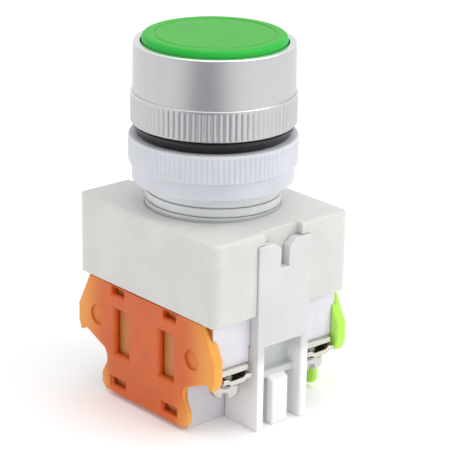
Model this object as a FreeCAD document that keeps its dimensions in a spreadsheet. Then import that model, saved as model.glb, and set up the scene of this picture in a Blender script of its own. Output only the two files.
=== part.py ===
"""Momentary panel push button with one normally closed and one normally open contact block.

Frame: millimetres, +Z along the button axis towards the user, +X towards the normally open
block, -Y towards the front pair of terminals. The origin is the middle of the underside.
"""
import FreeCAD, Part
import os
import Sketcher

doc = FreeCAD.newDocument("PushButton")
sheet = doc.addObject("Spreadsheet::Sheet", "Sizes")

SIZES = {
    # stack of heights, from the underside up
    "BlockHeight": 19.5,
    "BoxHeight": 13.6,
    "NeckShown": 4.17,
    "NutHeight": 7.38,
    "GasketHeight": 2.0,
    "SkirtHeight": 5.04,
    "RimHeight": 7.93,
    "CapStandOut": 1.13,
    # plan of the housing
    "BoxWidth": 28.6,
    "BoxDepth": 34.2,
    "BoxSideWall": 1.6,
    "BoxEndWall": 2.2,
    "BoxTopWall": 1.6,
    # head, on the button axis
    "Travel": 4.0,
    "StopGap": 0.35,
    "ThreadRadius": 11.0,
    "ThreadGap": 0.05,
    "BarrelWall": 2.2,
    "BarrelLip": 1.4,
    "BarrelFlange": 1.5,
    "BezelGrip": 3.75,
    "ShelfThickness": 2.0,
    "SkirtWall": 2.21,
    "SkirtStep": 0.26,
    "RimTaper": 0.14,
    "RimWall": 1.13,
    "CapGap": 0.19,
    "CapWall": 1.2,
    "CapTopWall": 1.6,
    "CapEdge": 0.7,
    "CapGrooveInset": 1.84,
    "CapGrooveDepth": 0.15,
    "GasketGap": 0.1,
    "GasketWidth": 1.8,
    "NutWall": 2.53,
    "NutBandStep": 0.55,
    "NutBandHeight": 2.7,
    "NutTaper": 0.35,
    "NutShoulder": 0.6,
    "StemRadius": 4.2,
    "StemHeadThickness": 1.45,
    "CollarDrop": 3.8,
    "CollarHeight": 3.0,
    "RunningGap": 0.06,
    "SnapGap": 0.05,
    "ClipGap": 0.05,
    "ClipThickness": 0.8,
    "ClipDepth": 0.7,
    "ClipLip": 1.6,
    "ClipMouth": 5.0,
    "PusherDrop": 2.1,
    "PusherThickness": 2.0,
    "PusherWidth": 5.0,
    "SpigotRadius": 3.2,
    "HeadSpringRadius": 6.4,
    "HeadSpringWire": 0.45,
    "HeadSpringTurns": 6.0,
    # contact carrier between the two blocks
    "WebThickness": 1.6,
    "ColumnWidth": 10.7,
    "ColumnProud": 0.45,
    "ColumnSeat": 1.2,
    "ProngDrop": 2.0,
    "NotchWidth": 7.8,
    "SlotWidth": 1.8,
    "SlotDepth": 4.3,
    "LeadInWidth": 4.3,
    "LeadInDepth": 1.05,
    "LintelDrop": 5.35,
    "LegThickness": 1.5,
    "ChannelDepth": 3.05,
    "CentreBlockWidth": 3.4,
    "CentreBlockHeight": 7.7,
    "CentreBlockSlope": 1.4,
    "LedgeDepth": 1.3,
    "LedgeHeight": 1.2,
    "HookInner": 2.4,
    "HookOuter": 4.6,
    "HookDrop": 5.0,
    "HookHeight": 1.2,
    # contact blocks
    "BlockInset": 1.55,
    "BayDepth": 7.5,
    "ShoulderHeight": 7.8,
    "BlockWall": 1.2,
    "BlockFloor": 0.9,
    "CeilingDrop": 0.8,
    "PlugHeight": 1.6,
    "PlugGap": 0.15,
    "ContactOffset": 1.3,
    "PlungerWidth": 4.0,
    "PlungerDepth": 5.0,
    "PushGap": 0.05,
    "TipRadius": 1.0,
    "FixedTipHeight": 0.5,
    "MovingTipHeight": 0.4,
    "ContactAir": 0.05,
    "TipInset": 2.6,
    "StripWidth": 2.6,
    "StripThickness": 0.7,
    "StripInset": 1.2,
    "PlungerTail": 2.6,
    "ContactSpringLength": 3.5,
    "ContactSpringRadius": 1.0,
    "ContactSpringWire": 0.15,
    "ContactSpringTurns": 5.0,
    "BlockSpringRadius": 1.8,
    "BlockSpringWire": 0.22,
    "BlockSpringTurns": 7.0,
    # side covers
    "CoverThickness": 1.3,
    "CoverRimDepth": 2.2,
    "CoverTopInset": 2.8,
    "WingProud": 0.1,
    "WingDrop": 5.7,
    "WingHeight": 3.1,
    "WingTip": 1.7,
    "WingTipOuterInset": 0.7,
    "WingTipInnerInset": 1.8,
    "HipProud": 0.6,
    "HipDrop": 4.0,
    "WaistProud": 0.1,
    "WaistDrop": 0.9,
    "FootFlare": 2.3,
    "FootProud": 1.4,
    "FootLift": 0.7,
    "FootHeight": 1.8,
    "FootCorner": 0.9,
    "WindowInset": 2.15,
    "WindowWidth": 3.55,
    "WindowDrop": 3.95,
    "WindowHeight": 7.85,
    "SlotInset": 1.4,
    "SlotLength": 3.35,
    "TopSlotHeight": 1.4,
    "TopSlotDrop": 0.1,
    "FootSlotLift": 2.0,
    "FootSlotHeight": 1.3,
    "DimpleInset": 5.1,
    "DimpleDrop": 6.4,
    "DimpleRadius": 1.7,
    "DimpleDepth": 0.4,
    # screw terminals
    "ClampClear": 0.65,
    "ClampCoverGap": 0.3,
    "TerminalTrim": 0.1,
    "TerminalThickness": 1.0,
    "TerminalReach": 4.0,
    "TerminalInset": 0.8,
    "ScrewInset": 3.4,
    "ScrewRadius": 1.5,
    "ScrewHeadRadius": 2.5,
    "ScrewHeadHeight": 2.6,
    "ScrewReach": 3.7,
    "ScrewSlotWidth": 0.7,
    "ScrewSlotDepth": 1.1,
    "WellGap": 0.1,
    "ClampGap": 0.7,
    "ClampThickness": 0.8,
    "ClampHalfLength": 3.25,
    "ClampWing": 1.0,
    "ClampBend": 0.6,
    "ClampRise": 0.4,
}

for row, (alias, number) in enumerate(SIZES.items(), start=1):
    sheet.set(f"A{row}", alias)
    sheet.set(f"B{row}", str(number))
    sheet.setAlias(f"B{row}", alias)
doc.recompute()


def size(name, share=1):
    """An expression for a named size, or for a share of it."""
    return f"Sizes.{name}" if share == 1 else f"({share} * Sizes.{name})"


def below(level, *drops):
    """A level taken down by one or more sizes or expressions."""
    return "(" + " - ".join([level, *drops]) + ")"


def above(level, *rises):
    """A level taken up by one or more sizes or expressions."""
    return "(" + " + ".join([level, *rises]) + ")"


# levels of the stack, as expressions
BLOCK_TOP = size("BlockHeight")
BOX_TOP = above(BLOCK_TOP, size("BoxHeight"))
NUT_BOTTOM = above(BOX_TOP, size("NeckShown"))
SEAT = above(NUT_BOTTOM, size("NutHeight"))
GASKET_TOP = above(SEAT, size("GasketHeight"))
SKIRT_TOP = above(GASKET_TOP, size("SkirtHeight"))
RIM_TOP = above(SKIRT_TOP, size("RimHeight"))
CAP_TOP = above(RIM_TOP, size("CapStandOut"))
BARREL_TOP = above(GASKET_TOP, size("BezelGrip"))
CAP_BOTTOM = above(BARREL_TOP, size("Travel"), size("StopGap"))
FLANGE_TOP = below(BOX_TOP, size("BoxTopWall"))
FLANGE_BOTTOM = below(FLANGE_TOP, size("BarrelFlange"))
SHELF_TOP = above(FLANGE_BOTTOM, size("ShelfThickness"))
COLLAR_TOP = below(BARREL_TOP, size("CollarDrop"))
COLLAR_BOTTOM = below(COLLAR_TOP, size("CollarHeight"))
CLIP_TOP = below(FLANGE_BOTTOM, size("ClipGap"))
CLIP_BOTTOM = below(CLIP_TOP, size("ClipThickness"))
PUSHER_TOP = below(FLANGE_BOTTOM, size("PusherDrop"))
PUSHER_BOTTOM = below(PUSHER_TOP, size("PusherThickness"))
PLUNGER_TOP = below(PUSHER_BOTTOM, size("PushGap"))
PRONG_TOP = below(BOX_TOP, size("ProngDrop"))
LINTEL = below(BLOCK_TOP, size("LintelDrop"))
SHOULDER = below(BLOCK_TOP, size("ShoulderHeight"))
PLATE_BOTTOM = below(SHOULDER, size("TerminalThickness"))
CEILING = below(BLOCK_TOP, size("CeilingDrop"))
PLUG_TOP = above(BLOCK_TOP, size("PlugHeight"))
FLOOR = size("BlockFloor")
CLAMP_TOP = below(PLATE_BOTTOM, size("ClampGap"))
CLAMP_BOTTOM = below(CLAMP_TOP, size("ClampThickness"))

# distances from the middle, as expressions
BOX_SIDE = size("BoxWidth", 0.5)
BOX_END = size("BoxDepth", 0.5)
SEAT_END = below(BOX_END, size("ColumnSeat"))
COLUMN_FACE = above(BOX_END, size("ColumnProud"))
COLUMN_SIDE = size("ColumnWidth", 0.5)
WEB_SIDE = size("WebThickness", 0.5)
BLOCK_SIDE = below(BOX_SIDE, size("CoverThickness"))
BLOCK_END = below(BOX_END, size("BlockInset"))
BAY_END = below(BOX_END, size("BayDepth"))
CHANNEL_BACK = below(COLUMN_FACE, size("ChannelDepth"))
CAVITY_SIDE = below(BLOCK_SIDE, size("BlockWall"))
CAVITY_END = below(BAY_END, size("BlockWall"))
SCREW_LINE = below(BOX_END, size("ScrewInset"))
COVER_INNER = below(BOX_SIDE, size("CoverRimDepth"))
CLAMP_NEAR = above(COLUMN_SIDE, size("ClampClear"))
CLAMP_FAR = below(COVER_INNER, size("ClampCoverGap"))
CLAMP_HALF = f"(({CLAMP_FAR} - {CLAMP_NEAR}) * 0.5)"
TERMINAL_HALF = below(CLAMP_HALF, size("TerminalTrim"))
TERMINAL_LINE = f"(({CLAMP_FAR} + {CLAMP_NEAR}) * 0.5)"
CONTACT_LINE = below(TERMINAL_LINE, size("ContactOffset"))

# radii about the button axis, as expressions
THREAD = size("ThreadRadius")
THREAD_HOLE = above(THREAD, size("ThreadGap"))
BARREL_BORE = below(THREAD, size("BarrelWall"))
SKIRT = above(THREAD_HOLE, size("SkirtWall"))
RIM_FOOT = below(SKIRT, size("SkirtStep"))
RIM_EDGE = below(RIM_FOOT, size("RimTaper"))
MOUTH = below(RIM_EDGE, size("RimWall"))
CAP_RADIUS = below(MOUTH, size("CapGap"))
CAP_INSIDE = below(CAP_RADIUS, size("CapWall"))
NUT_RADIUS = above(THREAD_HOLE, size("NutWall"))

NODES = []


def keep(item, node):
    """Give an object its node name and list it among the sub-parts."""
    item.Label = node
    NODES.append(item)
    return item


def span(side, near, far):
    """Low and high ends of a stretch between two distances from the middle, on one side of it."""
    return (near, far) if side > 0 else (f"(-{far})", f"(-{near})")


def both(half):
    """A stretch that is centred on the middle."""
    return (f"(-{half})", half)


def around(line, half):
    """A stretch of half a width each way from a line."""
    return (f"({line} - {half})", f"({line} + {half})")


def turned(side, line):
    """A distance from the middle, on one side of it."""
    return line if side > 0 else f"(-{line})"


def block(name, along_x, along_y, along_z):
    """A box between a low and a high expression along each axis."""
    item = doc.addObject("Part::Box", name)
    ends = {"Length": ("x", along_x), "Width": ("y", along_y), "Height": ("z", along_z)}
    for edge, (axis, (low, high)) in ends.items():
        item.setExpression(edge, f"{high} - {low}")
        item.setExpression(f"Placement.Base.{axis}", low)
    return item


def rod(name, radius, along_z, x="0", y="0"):
    """An upright cylinder."""
    item = doc.addObject("Part::Cylinder", name)
    low, high = along_z
    item.setExpression("Radius", radius)
    item.setExpression("Height", f"{high} - {low}")
    item.setExpression("Placement.Base.x", x)
    item.setExpression("Placement.Base.y", y)
    item.setExpression("Placement.Base.z", low)
    return item


def side_rod(name, radius, along_x, y, z):
    """A cylinder along X."""
    item = doc.addObject("Part::Cylinder", name)
    low, high = along_x
    item.Placement = FreeCAD.Placement(
        FreeCAD.Vector(), FreeCAD.Rotation(FreeCAD.Vector(0, 1, 0), 90)
    )
    item.setExpression("Radius", radius)
    item.setExpression("Height", f"{high} - {low}")
    item.setExpression("Placement.Base.x", low)
    item.setExpression("Placement.Base.y", y)
    item.setExpression("Placement.Base.z", z)
    return item


def joined(name, pieces):
    """Several solids made one."""
    item = doc.addObject("Part::MultiFuse", name)
    item.Shapes = pieces
    return item


def without(name, base, cutters):
    """A solid with others cut out of it."""
    item = doc.addObject("Part::Cut", name)
    item.Base = base
    item.Tool = cutters[0] if len(cutters) == 1 else joined(name + "Cutters", cutters)
    return item


def outline(body, role, points, offset="0"):
    """A closed sketch of straight sides whose corners are bound to expressions."""
    plane = next(item for item in body.Origin.OriginFeatures if item.Role == role)
    sketch = body.newObject("Sketcher::SketchObject", body.Name + "Outline")
    sketch.AttachmentSupport = [(plane, "")]
    sketch.MapMode = "FlatFace"
    sketch.setExpression("AttachmentOffset.Base.z", offset)
    corners = [[sheet_value(text) for text in point] for point in points]
    count = len(points)
    for index, (across, up) in enumerate(corners):
        next_across, next_up = corners[(index + 1) % count]
        start = FreeCAD.Vector(across, up, 0)
        end = FreeCAD.Vector(next_across, next_up, 0)
        sketch.addGeometry(Part.LineSegment(start, end), False)
    for index in range(count):
        follower = (index + 1) % count
        sketch.addConstraint(Sketcher.Constraint("Coincident", index, 2, follower, 1))
    for index, point in enumerate(points):
        for kind, text, number in zip(("DistanceX", "DistanceY"), point, corners[index]):
            place = sketch.addConstraint(Sketcher.Constraint(kind, -1, 1, index, 1, number))
            sketch.setExpression(f"Constraints[{place}]", text)
    return sketch


def sheet_value(text):
    """The number that an expression has now, which a new sketch corner starts from."""
    return float(sheet.evalExpression(text))


def lathe(node, points):
    """A turned piece: the outline of half its section, revolved about the button axis."""
    body = doc.addObject("PartDesign::Body", "Turned_" + node)
    sketch = outline(body, "XZ_Plane", points)
    turn = body.newObject("PartDesign::Revolution", "Revolution_" + node)
    turn.Profile = sketch
    turn.ReferenceAxis = (sketch, ["V_Axis"])
    turn.Angle = 360
    return body


def slab(name, role, points, low, thickness):
    """A flat piece: an outline padded by its thickness from a low level along its normal."""
    body = doc.addObject("PartDesign::Body", name)
    sketch = outline(body, role, points, low)
    pad = body.newObject("PartDesign::Pad", name + "Pad")
    pad.Profile = sketch
    pad.setExpression("Length", thickness)
    return body


def coil(node, radius, wire, turns, along_z, x="0"):
    """A compression spring: a round wire swept along a helix that stands between two seats."""
    low, high = along_z
    wire_low = above(low, wire)
    spine = doc.addObject("Part::Helix", "Helix_" + node)
    spine.SegmentLength = 1
    spine.setExpression("Radius", radius)
    spine.setExpression("Height", f"{high} - {low} - 2 * {wire}")
    spine.setExpression("Pitch", f"({high} - {low} - 2 * {wire}) / {turns}")
    spine.setExpression("Placement.Base.x", x)
    spine.setExpression("Placement.Base.z", wire_low)
    section = doc.addObject("Part::Circle", "Wire_" + node)
    section.Placement = FreeCAD.Placement(
        FreeCAD.Vector(), FreeCAD.Rotation(FreeCAD.Vector(1, 0, 0), 90)
    )
    section.setExpression("Radius", wire)
    section.setExpression("Placement.Base.x", above(x, radius))
    section.setExpression("Placement.Base.z", wire_low)
    spring = doc.addObject("Part::Sweep", "Spring_" + node)
    spring.Sections = [section]
    spring.Spine = (spine, [])
    spring.Solid = True
    spring.Frenet = True
    return keep(spring, node)


# ---- head -------------------------------------------------------------------------------


def make_button_cap():
    """Shallow cup with a rounded edge and a fine ring groove in its face."""
    radius = CAP_RADIUS
    edge = size("CapEdge")
    groove = below(radius, size("CapGrooveInset"))
    groove_low = below(CAP_TOP, size("CapGrooveDepth"))
    inner_top = below(CAP_TOP, size("CapTopWall"))
    points = [
        (radius, CAP_BOTTOM),
        (radius, CAP_TOP),
        (above(groove, size("CapGrooveDepth")), CAP_TOP),
        (groove, groove_low),
        (below(groove, size("CapGrooveDepth")), CAP_TOP),
        ("0", CAP_TOP),
        ("0", inner_top),
        (CAP_INSIDE, inner_top),
        (CAP_INSIDE, CAP_BOTTOM),
    ]
    body = lathe("button_cap", points)
    doc.recompute()
    turn = body.Tip
    rim = [
        f"Edge{number}"
        for number, line in enumerate(turn.Shape.Edges, start=1)
        if line.BoundBox.ZMin > sheet_value(CAP_TOP) - 0.01
        and line.BoundBox.XMax > sheet_value(radius) - 0.01
    ]
    rounding = body.newObject("PartDesign::Fillet", "CapRounding")
    rounding.Base = (turn, rim)
    rounding.setExpression("Radius", edge)
    body.Tip = rounding
    keep(body, "button_cap")


def make_plunger_stem():
    """Stem that carries the cap, guided by its collar in the barrel and by the shelf."""
    shaft = size("StemRadius")
    waist = below(shaft, size("ClipDepth"))
    head = below(CAP_INSIDE, size("SnapGap"))
    head_top = below(CAP_TOP, size("CapTopWall"))
    head_bottom = below(head_top, size("StemHeadThickness"))
    collar = below(BARREL_BORE, size("RunningGap"))
    points = [
        ("0", head_top),
        (head, head_top),
        (head, head_bottom),
        (shaft, head_bottom),
        (shaft, COLLAR_TOP),
        (collar, COLLAR_TOP),
        (collar, COLLAR_BOTTOM),
        (shaft, COLLAR_BOTTOM),
        (shaft, CLIP_TOP),
        (waist, CLIP_TOP),
        (waist, CLIP_BOTTOM),
        (shaft, CLIP_BOTTOM),
        (shaft, PUSHER_TOP),
        (size("SpigotRadius"), PUSHER_TOP),
        (size("SpigotRadius"), PUSHER_BOTTOM),
        ("0", PUSHER_BOTTOM),
    ]
    keep(lathe("plunger_stem", points), "plunger_stem")


def make_stem_clip():
    """Open snap ring in the stem's groove, which stops the button against the shelf."""
    levels = (CLIP_BOTTOM, CLIP_TOP)
    radius = above(size("StemRadius"), size("ClipLip"))
    disc = rod("ClipDisc", radius, levels)
    bore = rod("ClipBore", below(size("StemRadius"), size("ClipDepth")), levels)
    mouth = block("ClipMouth", both(size("ClipMouth", 0.5)), ("0", radius), levels)
    keep(without("Clip", disc, [bore, mouth]), "stem_retaining_clip")


def make_contact_pusher():
    """Cross bar on the stem's spigot that presses both contact plungers."""
    levels = (PUSHER_BOTTOM, PUSHER_TOP)
    reach = above(CONTACT_LINE, size("PlungerWidth", 0.5), size("ClipThickness"))
    bar = block("PusherBar", both(reach), both(size("PusherWidth", 0.5)), levels)
    hub = rod("PusherHub", above(size("SpigotRadius"), size("CapWall")), levels)
    bore = rod("PusherBore", size("SpigotRadius"), levels)
    pusher = without("Pusher", joined("PusherBlank", [bar, hub]), [bore])
    keep(pusher, "contact_pusher")


def make_barrel():
    """Threaded neck with a flange inside the housing and a shelf under the return spring."""
    flange = above(THREAD, size("BarrelLip"))
    hole = above(size("StemRadius"), size("RunningGap"))
    points = [
        (flange, FLANGE_BOTTOM),
        (flange, FLANGE_TOP),
        (THREAD, FLANGE_TOP),
        (THREAD, BARREL_TOP),
        (BARREL_BORE, BARREL_TOP),
        (BARREL_BORE, SHELF_TOP),
        (hole, SHELF_TOP),
        (hole, FLANGE_BOTTOM),
    ]
    keep(lathe("threaded_barrel", points), "threaded_barrel")


def make_bezel():
    """Metal ring that screws on the barrel, clamps the gasket and rings the cap."""
    step = above(BARREL_TOP, size("ThreadGap"))
    points = [
        (THREAD_HOLE, GASKET_TOP),
        (SKIRT, GASKET_TOP),
        (SKIRT, SKIRT_TOP),
        (RIM_FOOT, SKIRT_TOP),
        (RIM_EDGE, RIM_TOP),
        (MOUTH, RIM_TOP),
        (MOUTH, step),
        (THREAD_HOLE, step),
    ]
    keep(lathe("bezel_ring", points), "bezel_ring")


def make_gasket():
    """Flat rubber ring that seals the panel hole."""
    bore = above(THREAD, size("GasketGap"))
    outer = above(bore, size("GasketWidth"))
    points = [(bore, SEAT), (outer, SEAT), (outer, GASKET_TOP), (bore, GASKET_TOP)]
    keep(lathe("sealing_gasket", points), "sealing_gasket")


def make_lock_nut():
    """Round nut with a ribbed upper part, a shoulder and a plain lower band."""
    band = below(NUT_RADIUS, size("NutBandStep"))
    band_top = above(NUT_BOTTOM, size("NutBandHeight"))
    points = [
        (THREAD_HOLE, NUT_BOTTOM),
        (band, NUT_BOTTOM),
        (band, band_top),
        (NUT_RADIUS, above(band_top, size("NutTaper"))),
        (NUT_RADIUS, below(SEAT, size("NutShoulder"))),
        (below(NUT_RADIUS, size("NutShoulder")), SEAT),
        (THREAD_HOLE, SEAT),
    ]
    keep(lathe("lock_nut", points), "lock_nut")


def make_housing():
    """Square box, open below, with a round hole on top and a latch seat in each end."""
    outer = block("BoxBlank", both(BOX_SIDE), both(BOX_END), (BLOCK_TOP, BOX_TOP))
    room_x = both(below(BOX_SIDE, size("BoxSideWall")))
    room_y = both(below(BOX_END, size("BoxEndWall")))
    room = block("BoxRoom", room_x, room_y, (BLOCK_TOP, FLANGE_TOP))
    hole = rod("BoxHole", THREAD_HOLE, (FLANGE_TOP, BOX_TOP))
    cutters = [room, hole]
    for end, name in ((-1, "Front"), (1, "Back")):
        deep = span(end, SEAT_END, BOX_END)
        seat_side = above(COLUMN_SIDE, size("SnapGap"))
        seat_top = above(PRONG_TOP, size("SnapGap"))
        seat = block(f"{name}Seat", both(seat_side), deep, (BLOCK_TOP, seat_top))
        notch = block(f"{name}Notch", both(size("NotchWidth", 0.5)), deep, (BLOCK_TOP, BOX_TOP))
        cutters += [seat, notch]
        through = span(end, below(BOX_END, size("BoxEndWall")), BOX_END)
        for side in (-1, 1):
            catch = hook_stretch(side)
            window = block(f"{name}Catch{side + 1}", catch, through, hook_levels())
            cutters.append(window)
    keep(without("Housing", outer, cutters), "housing_box")


def hook_stretch(side):
    """Where a latch hook lies along X."""
    return span(side, size("HookInner"), size("HookOuter"))


def hook_levels():
    """Where a latch hook lies along Z."""
    top = below(PRONG_TOP, size("HookDrop"))
    return (below(top, size("HookHeight")), top)


# ---- contact carrier --------------------------------------------------------------------


def make_prong(end, name):
    """Latch column in the housing's end: split at its top by a slot with a lead-in."""
    side = COLUMN_SIDE
    slot = size("SlotWidth", 0.5)
    lead = size("LeadInWidth", 0.5)
    points = [
        (f"(-{side})", LINTEL),
        (f"(-{side})", PRONG_TOP),
        (f"(-{lead})", PRONG_TOP),
        (f"(-{slot})", below(PRONG_TOP, size("LeadInDepth"))),
        (f"(-{slot})", below(PRONG_TOP, size("SlotDepth"))),
        (slot, below(PRONG_TOP, size("SlotDepth"))),
        (slot, below(PRONG_TOP, size("LeadInDepth"))),
        (lead, PRONG_TOP),
        (side, PRONG_TOP),
        (side, LINTEL),
    ]
    inner = above(SEAT_END, size("SnapGap"))
    thickness = below(COLUMN_FACE, inner)
    # the sketch plane faces -Y, so a distance along its normal is a distance to the front
    low = inner if end < 0 else f"(-{COLUMN_FACE})"
    return slab(f"{name}Prong", "XZ_Plane", points, low, thickness)


def make_carrier():
    """Middle moulding that holds both blocks: web, end blocks, legs, channels and prongs."""
    legs = ("0", LINTEL)
    pieces = []
    web_end = above(BAY_END, size("SnapGap"))
    pieces.append(block("Web", both(WEB_SIDE), both(web_end), ("0", BLOCK_TOP)))
    pieces.append(block("UpperWeb", both(WEB_SIDE), both(BLOCK_END), (LINTEL, BLOCK_TOP)))
    for end, name in ((-1, "Front"), (1, "Back")):
        inner = above(BAY_END, size("SnapGap"))
        pieces.append(
            block(f"{name}Heel", both(COLUMN_SIDE), span(end, inner, CHANNEL_BACK), legs)
        )
        lintel_inner = above(BLOCK_END, size("SnapGap"))
        lintel_deep = span(end, lintel_inner, COLUMN_FACE)
        pieces.append(block(f"{name}Lintel", both(COLUMN_SIDE), lintel_deep, (LINTEL, BLOCK_TOP)))
        for side in (-1, 1):
            leg_inner = below(COLUMN_SIDE, size("LegThickness"))
            stretch = span(side, leg_inner, COLUMN_SIDE)
            deep = span(end, CHANNEL_BACK, COLUMN_FACE)
            pieces.append(block(f"{name}Leg{side + 1}", stretch, deep, legs))
            hook_deep = span(end, below(BOX_END, size("BoxEndWall")), above(SEAT_END, size("SnapGap")))
            pieces.append(block(f"{name}Hook{side + 1}", hook_stretch(side), hook_deep, hook_levels()))
        pieces.append(make_prong(end, name))
        pieces.append(make_centre_block(end, name))
        ledge_deep = span(end, CHANNEL_BACK, above(CHANNEL_BACK, size("LedgeDepth")))
        ledge_top = above(size("CentreBlockHeight"), size("CentreBlockSlope"))
        ledge_levels = (below(ledge_top, size("LedgeHeight")), ledge_top)
        pieces.append(block(f"{name}Ledge", both(COLUMN_SIDE), ledge_deep, ledge_levels))
    keep(joined("Carrier", pieces), "contact_carrier")


def make_centre_block(end, name):
    """Low block in the channel between the legs, with a sloping top."""
    top = size("CentreBlockHeight")
    back_top = above(top, size("CentreBlockSlope"))
    face = turned(end, BOX_END)
    back = turned(end, CHANNEL_BACK)
    points = [(back, "0"), (face, "0"), (face, top), (back, back_top)]
    half = size("CentreBlockWidth", 0.5)
    width = size("CentreBlockWidth")
    return slab(f"{name}Block", "YZ_Plane", points, f"(-{half})", width)


# ---- contact blocks ---------------------------------------------------------------------


def make_contact_body(kind, side):
    """Block housing: shoulders over the terminals, a cavity open to the carrier's web."""
    deep = span(side, WEB_SIDE, BLOCK_SIDE)
    upper = block(f"{kind}Upper", deep, both(BLOCK_END), (SHOULDER, BLOCK_TOP))
    lower = block(f"{kind}Lower", deep, both(BAY_END), ("0", SHOULDER))
    plug_side = below(BOX_SIDE, size("BoxSideWall"), size("PlugGap"))
    plug_end = below(BOX_END, size("BoxEndWall"), size("PlugGap"))
    plug_deep = span(side, WEB_SIDE, plug_side)
    plug = block(f"{kind}Plug", plug_deep, both(plug_end), (BLOCK_TOP, PLUG_TOP))
    cavity_deep = span(side, WEB_SIDE, CAVITY_SIDE)
    cavity = block(f"{kind}Cavity", cavity_deep, both(CAVITY_END), (FLOOR, CEILING))
    gap = size("RunningGap")
    throat_x = around(turned(side, CONTACT_LINE), above(size("PlungerWidth", 0.5), gap))
    throat_y = both(above(size("PlungerDepth", 0.5), gap))
    cutters = [cavity, block(f"{kind}Throat", throat_x, throat_y, (CEILING, PLUG_TOP))]
    plate_x = around(turned(side, TERMINAL_LINE), TERMINAL_HALF)
    for end in (-1, 1):
        corner_x = span(side, WEB_SIDE, above(COLUMN_SIDE, size("SnapGap")))
        corner_top = above(LINTEL, size("SnapGap"))
        corner_y = span(end, BAY_END, BLOCK_END)
        cutters.append(block(f"{kind}Corner{end + 1}", corner_x, corner_y, (SHOULDER, corner_top)))
        slot_y = span(end, CAVITY_END, BAY_END)
        cutters.append(block(f"{kind}Entry{end + 1}", plate_x, slot_y, (PLATE_BOTTOM, SHOULDER)))
        well_top = above(SHOULDER, size("ScrewReach"), size("ClampGap"))
        well_x = turned(side, TERMINAL_LINE)
        well_y = turned(end, SCREW_LINE)
        well = (SHOULDER, well_top)
        well_radius = above(size("ScrewRadius"), size("WellGap"))
        cutters.append(rod(f"{kind}Well{end + 1}", well_radius, well, well_x, well_y))
    blank = joined(f"{kind}Blank", [upper, lower, plug])
    keep(without(f"{kind}Body", blank, cutters), f"{kind}_contact_body")


def cover_outline():
    """Half of a side cover's outline, from its top edge down, as distances and levels."""
    wing = above(BOX_END, size("WingProud"))
    wing_low = below(BLOCK_TOP, size("WingDrop"), size("WingHeight"))
    tip_low = below(wing_low, size("WingTip"))
    waist = above(BAY_END, size("WaistProud"))
    waist_top = below(SHOULDER, size("HipDrop"), size("WaistDrop"))
    foot = above(BAY_END, size("FootProud"))
    foot_low = above(size("FootLift"), size("FootCorner"))
    foot_top = above(foot_low, size("FootHeight"))
    return [
        (below(BOX_END, size("CoverTopInset")), BLOCK_TOP),
        (wing, below(BLOCK_TOP, size("WingDrop"))),
        (wing, wing_low),
        (below(wing, size("WingTipOuterInset")), tip_low),
        (below(wing, size("WingTipInnerInset")), above(tip_low, size("FootCorner"))),
        (above(BAY_END, size("HipProud")), below(SHOULDER, size("HipDrop"))),
        (waist, waist_top),
        (waist, above(foot_top, size("FootFlare"))),
        (foot, foot_top),
        (foot, foot_low),
        (below(foot, size("FootCorner")), size("FootLift")),
    ]


def make_side_cover(kind, side):
    """Coloured plate over a block's side, hollowed behind, with windows, slots and dimples."""
    half = cover_outline()
    points = half + [(f"(-{across})", level) for across, level in reversed(half)]
    inner = COVER_INNER
    low = inner if side > 0 else f"(-{BOX_SIDE})"
    plate = slab(f"{kind}Cover", "YZ_Plane", points, low, size("CoverRimDepth"))
    behind = span(side, inner, BLOCK_SIDE)
    through = span(side, inner, BOX_SIDE)
    hip = below(SHOULDER, size("HipDrop"))
    cutters = [
        block(f"{kind}HollowTop", behind, both(BLOCK_END), (SHOULDER, BLOCK_TOP)),
        block(f"{kind}HollowMiddle", behind, both(BAY_END), (hip, SHOULDER)),
        block(f"{kind}HollowFoot", behind, both(BOX_END), ("0", hip)),
    ]
    window_top = below(BLOCK_TOP, size("WindowDrop"))
    window = (below(window_top, size("WindowHeight")), window_top)
    top_slot_top = below(BLOCK_TOP, size("TopSlotDrop"))
    top_slot = (below(top_slot_top, size("TopSlotHeight")), top_slot_top)
    foot_slot = (size("FootSlotLift"), above(size("FootSlotLift"), size("FootSlotHeight")))
    window_end = below(BAY_END, size("WindowInset"))
    slot_end = below(BAY_END, size("SlotInset"))
    dimple_level = below(BLOCK_TOP, size("DimpleDrop"))
    dimple_x = span(side, below(BOX_SIDE, size("DimpleDepth")), BOX_SIDE)
    for end in (-1, 1):
        window_y = span(end, below(window_end, size("WindowWidth")), window_end)
        slot_y = span(end, below(slot_end, size("SlotLength")), slot_end)
        cutters.append(block(f"{kind}Window{end + 1}", through, window_y, window))
        cutters.append(block(f"{kind}TopSlot{end + 1}", through, slot_y, top_slot))
        cutters.append(block(f"{kind}FootSlot{end + 1}", through, slot_y, foot_slot))
        dimple_y = turned(end, below(BOX_END, size("DimpleInset")))
        radius = size("DimpleRadius")
        cutters.append(
            side_rod(f"{kind}Dimple{end + 1}", radius, dimple_x, dimple_y, dimple_level)
        )
    keep(without(f"{kind}CoverCut", plate, cutters), f"{kind}_side_cover")


def make_tips(kind, side, node, levels):
    """A pair of round contact tips, one at each end of the bridge."""
    x = turned(side, CONTACT_LINE)
    y = below(CAVITY_END, size("TipInset"))
    pair = doc.addObject("Part::Compound", f"{kind}{node}")
    pair.Links = [
        rod(f"{kind}{node}{end + 1}", size("TipRadius"), levels, x, turned(end, y))
        for end in (-1, 1)
    ]
    keep(pair, f"{kind}_{node}")


def make_bridge(kind, side, strip):
    """Moving strip that joins the two terminals."""
    x = around(turned(side, CONTACT_LINE), size("StripWidth", 0.5))
    y = both(below(CAVITY_END, size("StripInset")))
    keep(block(f"{kind}Bridge", x, y, strip), f"{kind}_bridge")


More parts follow.
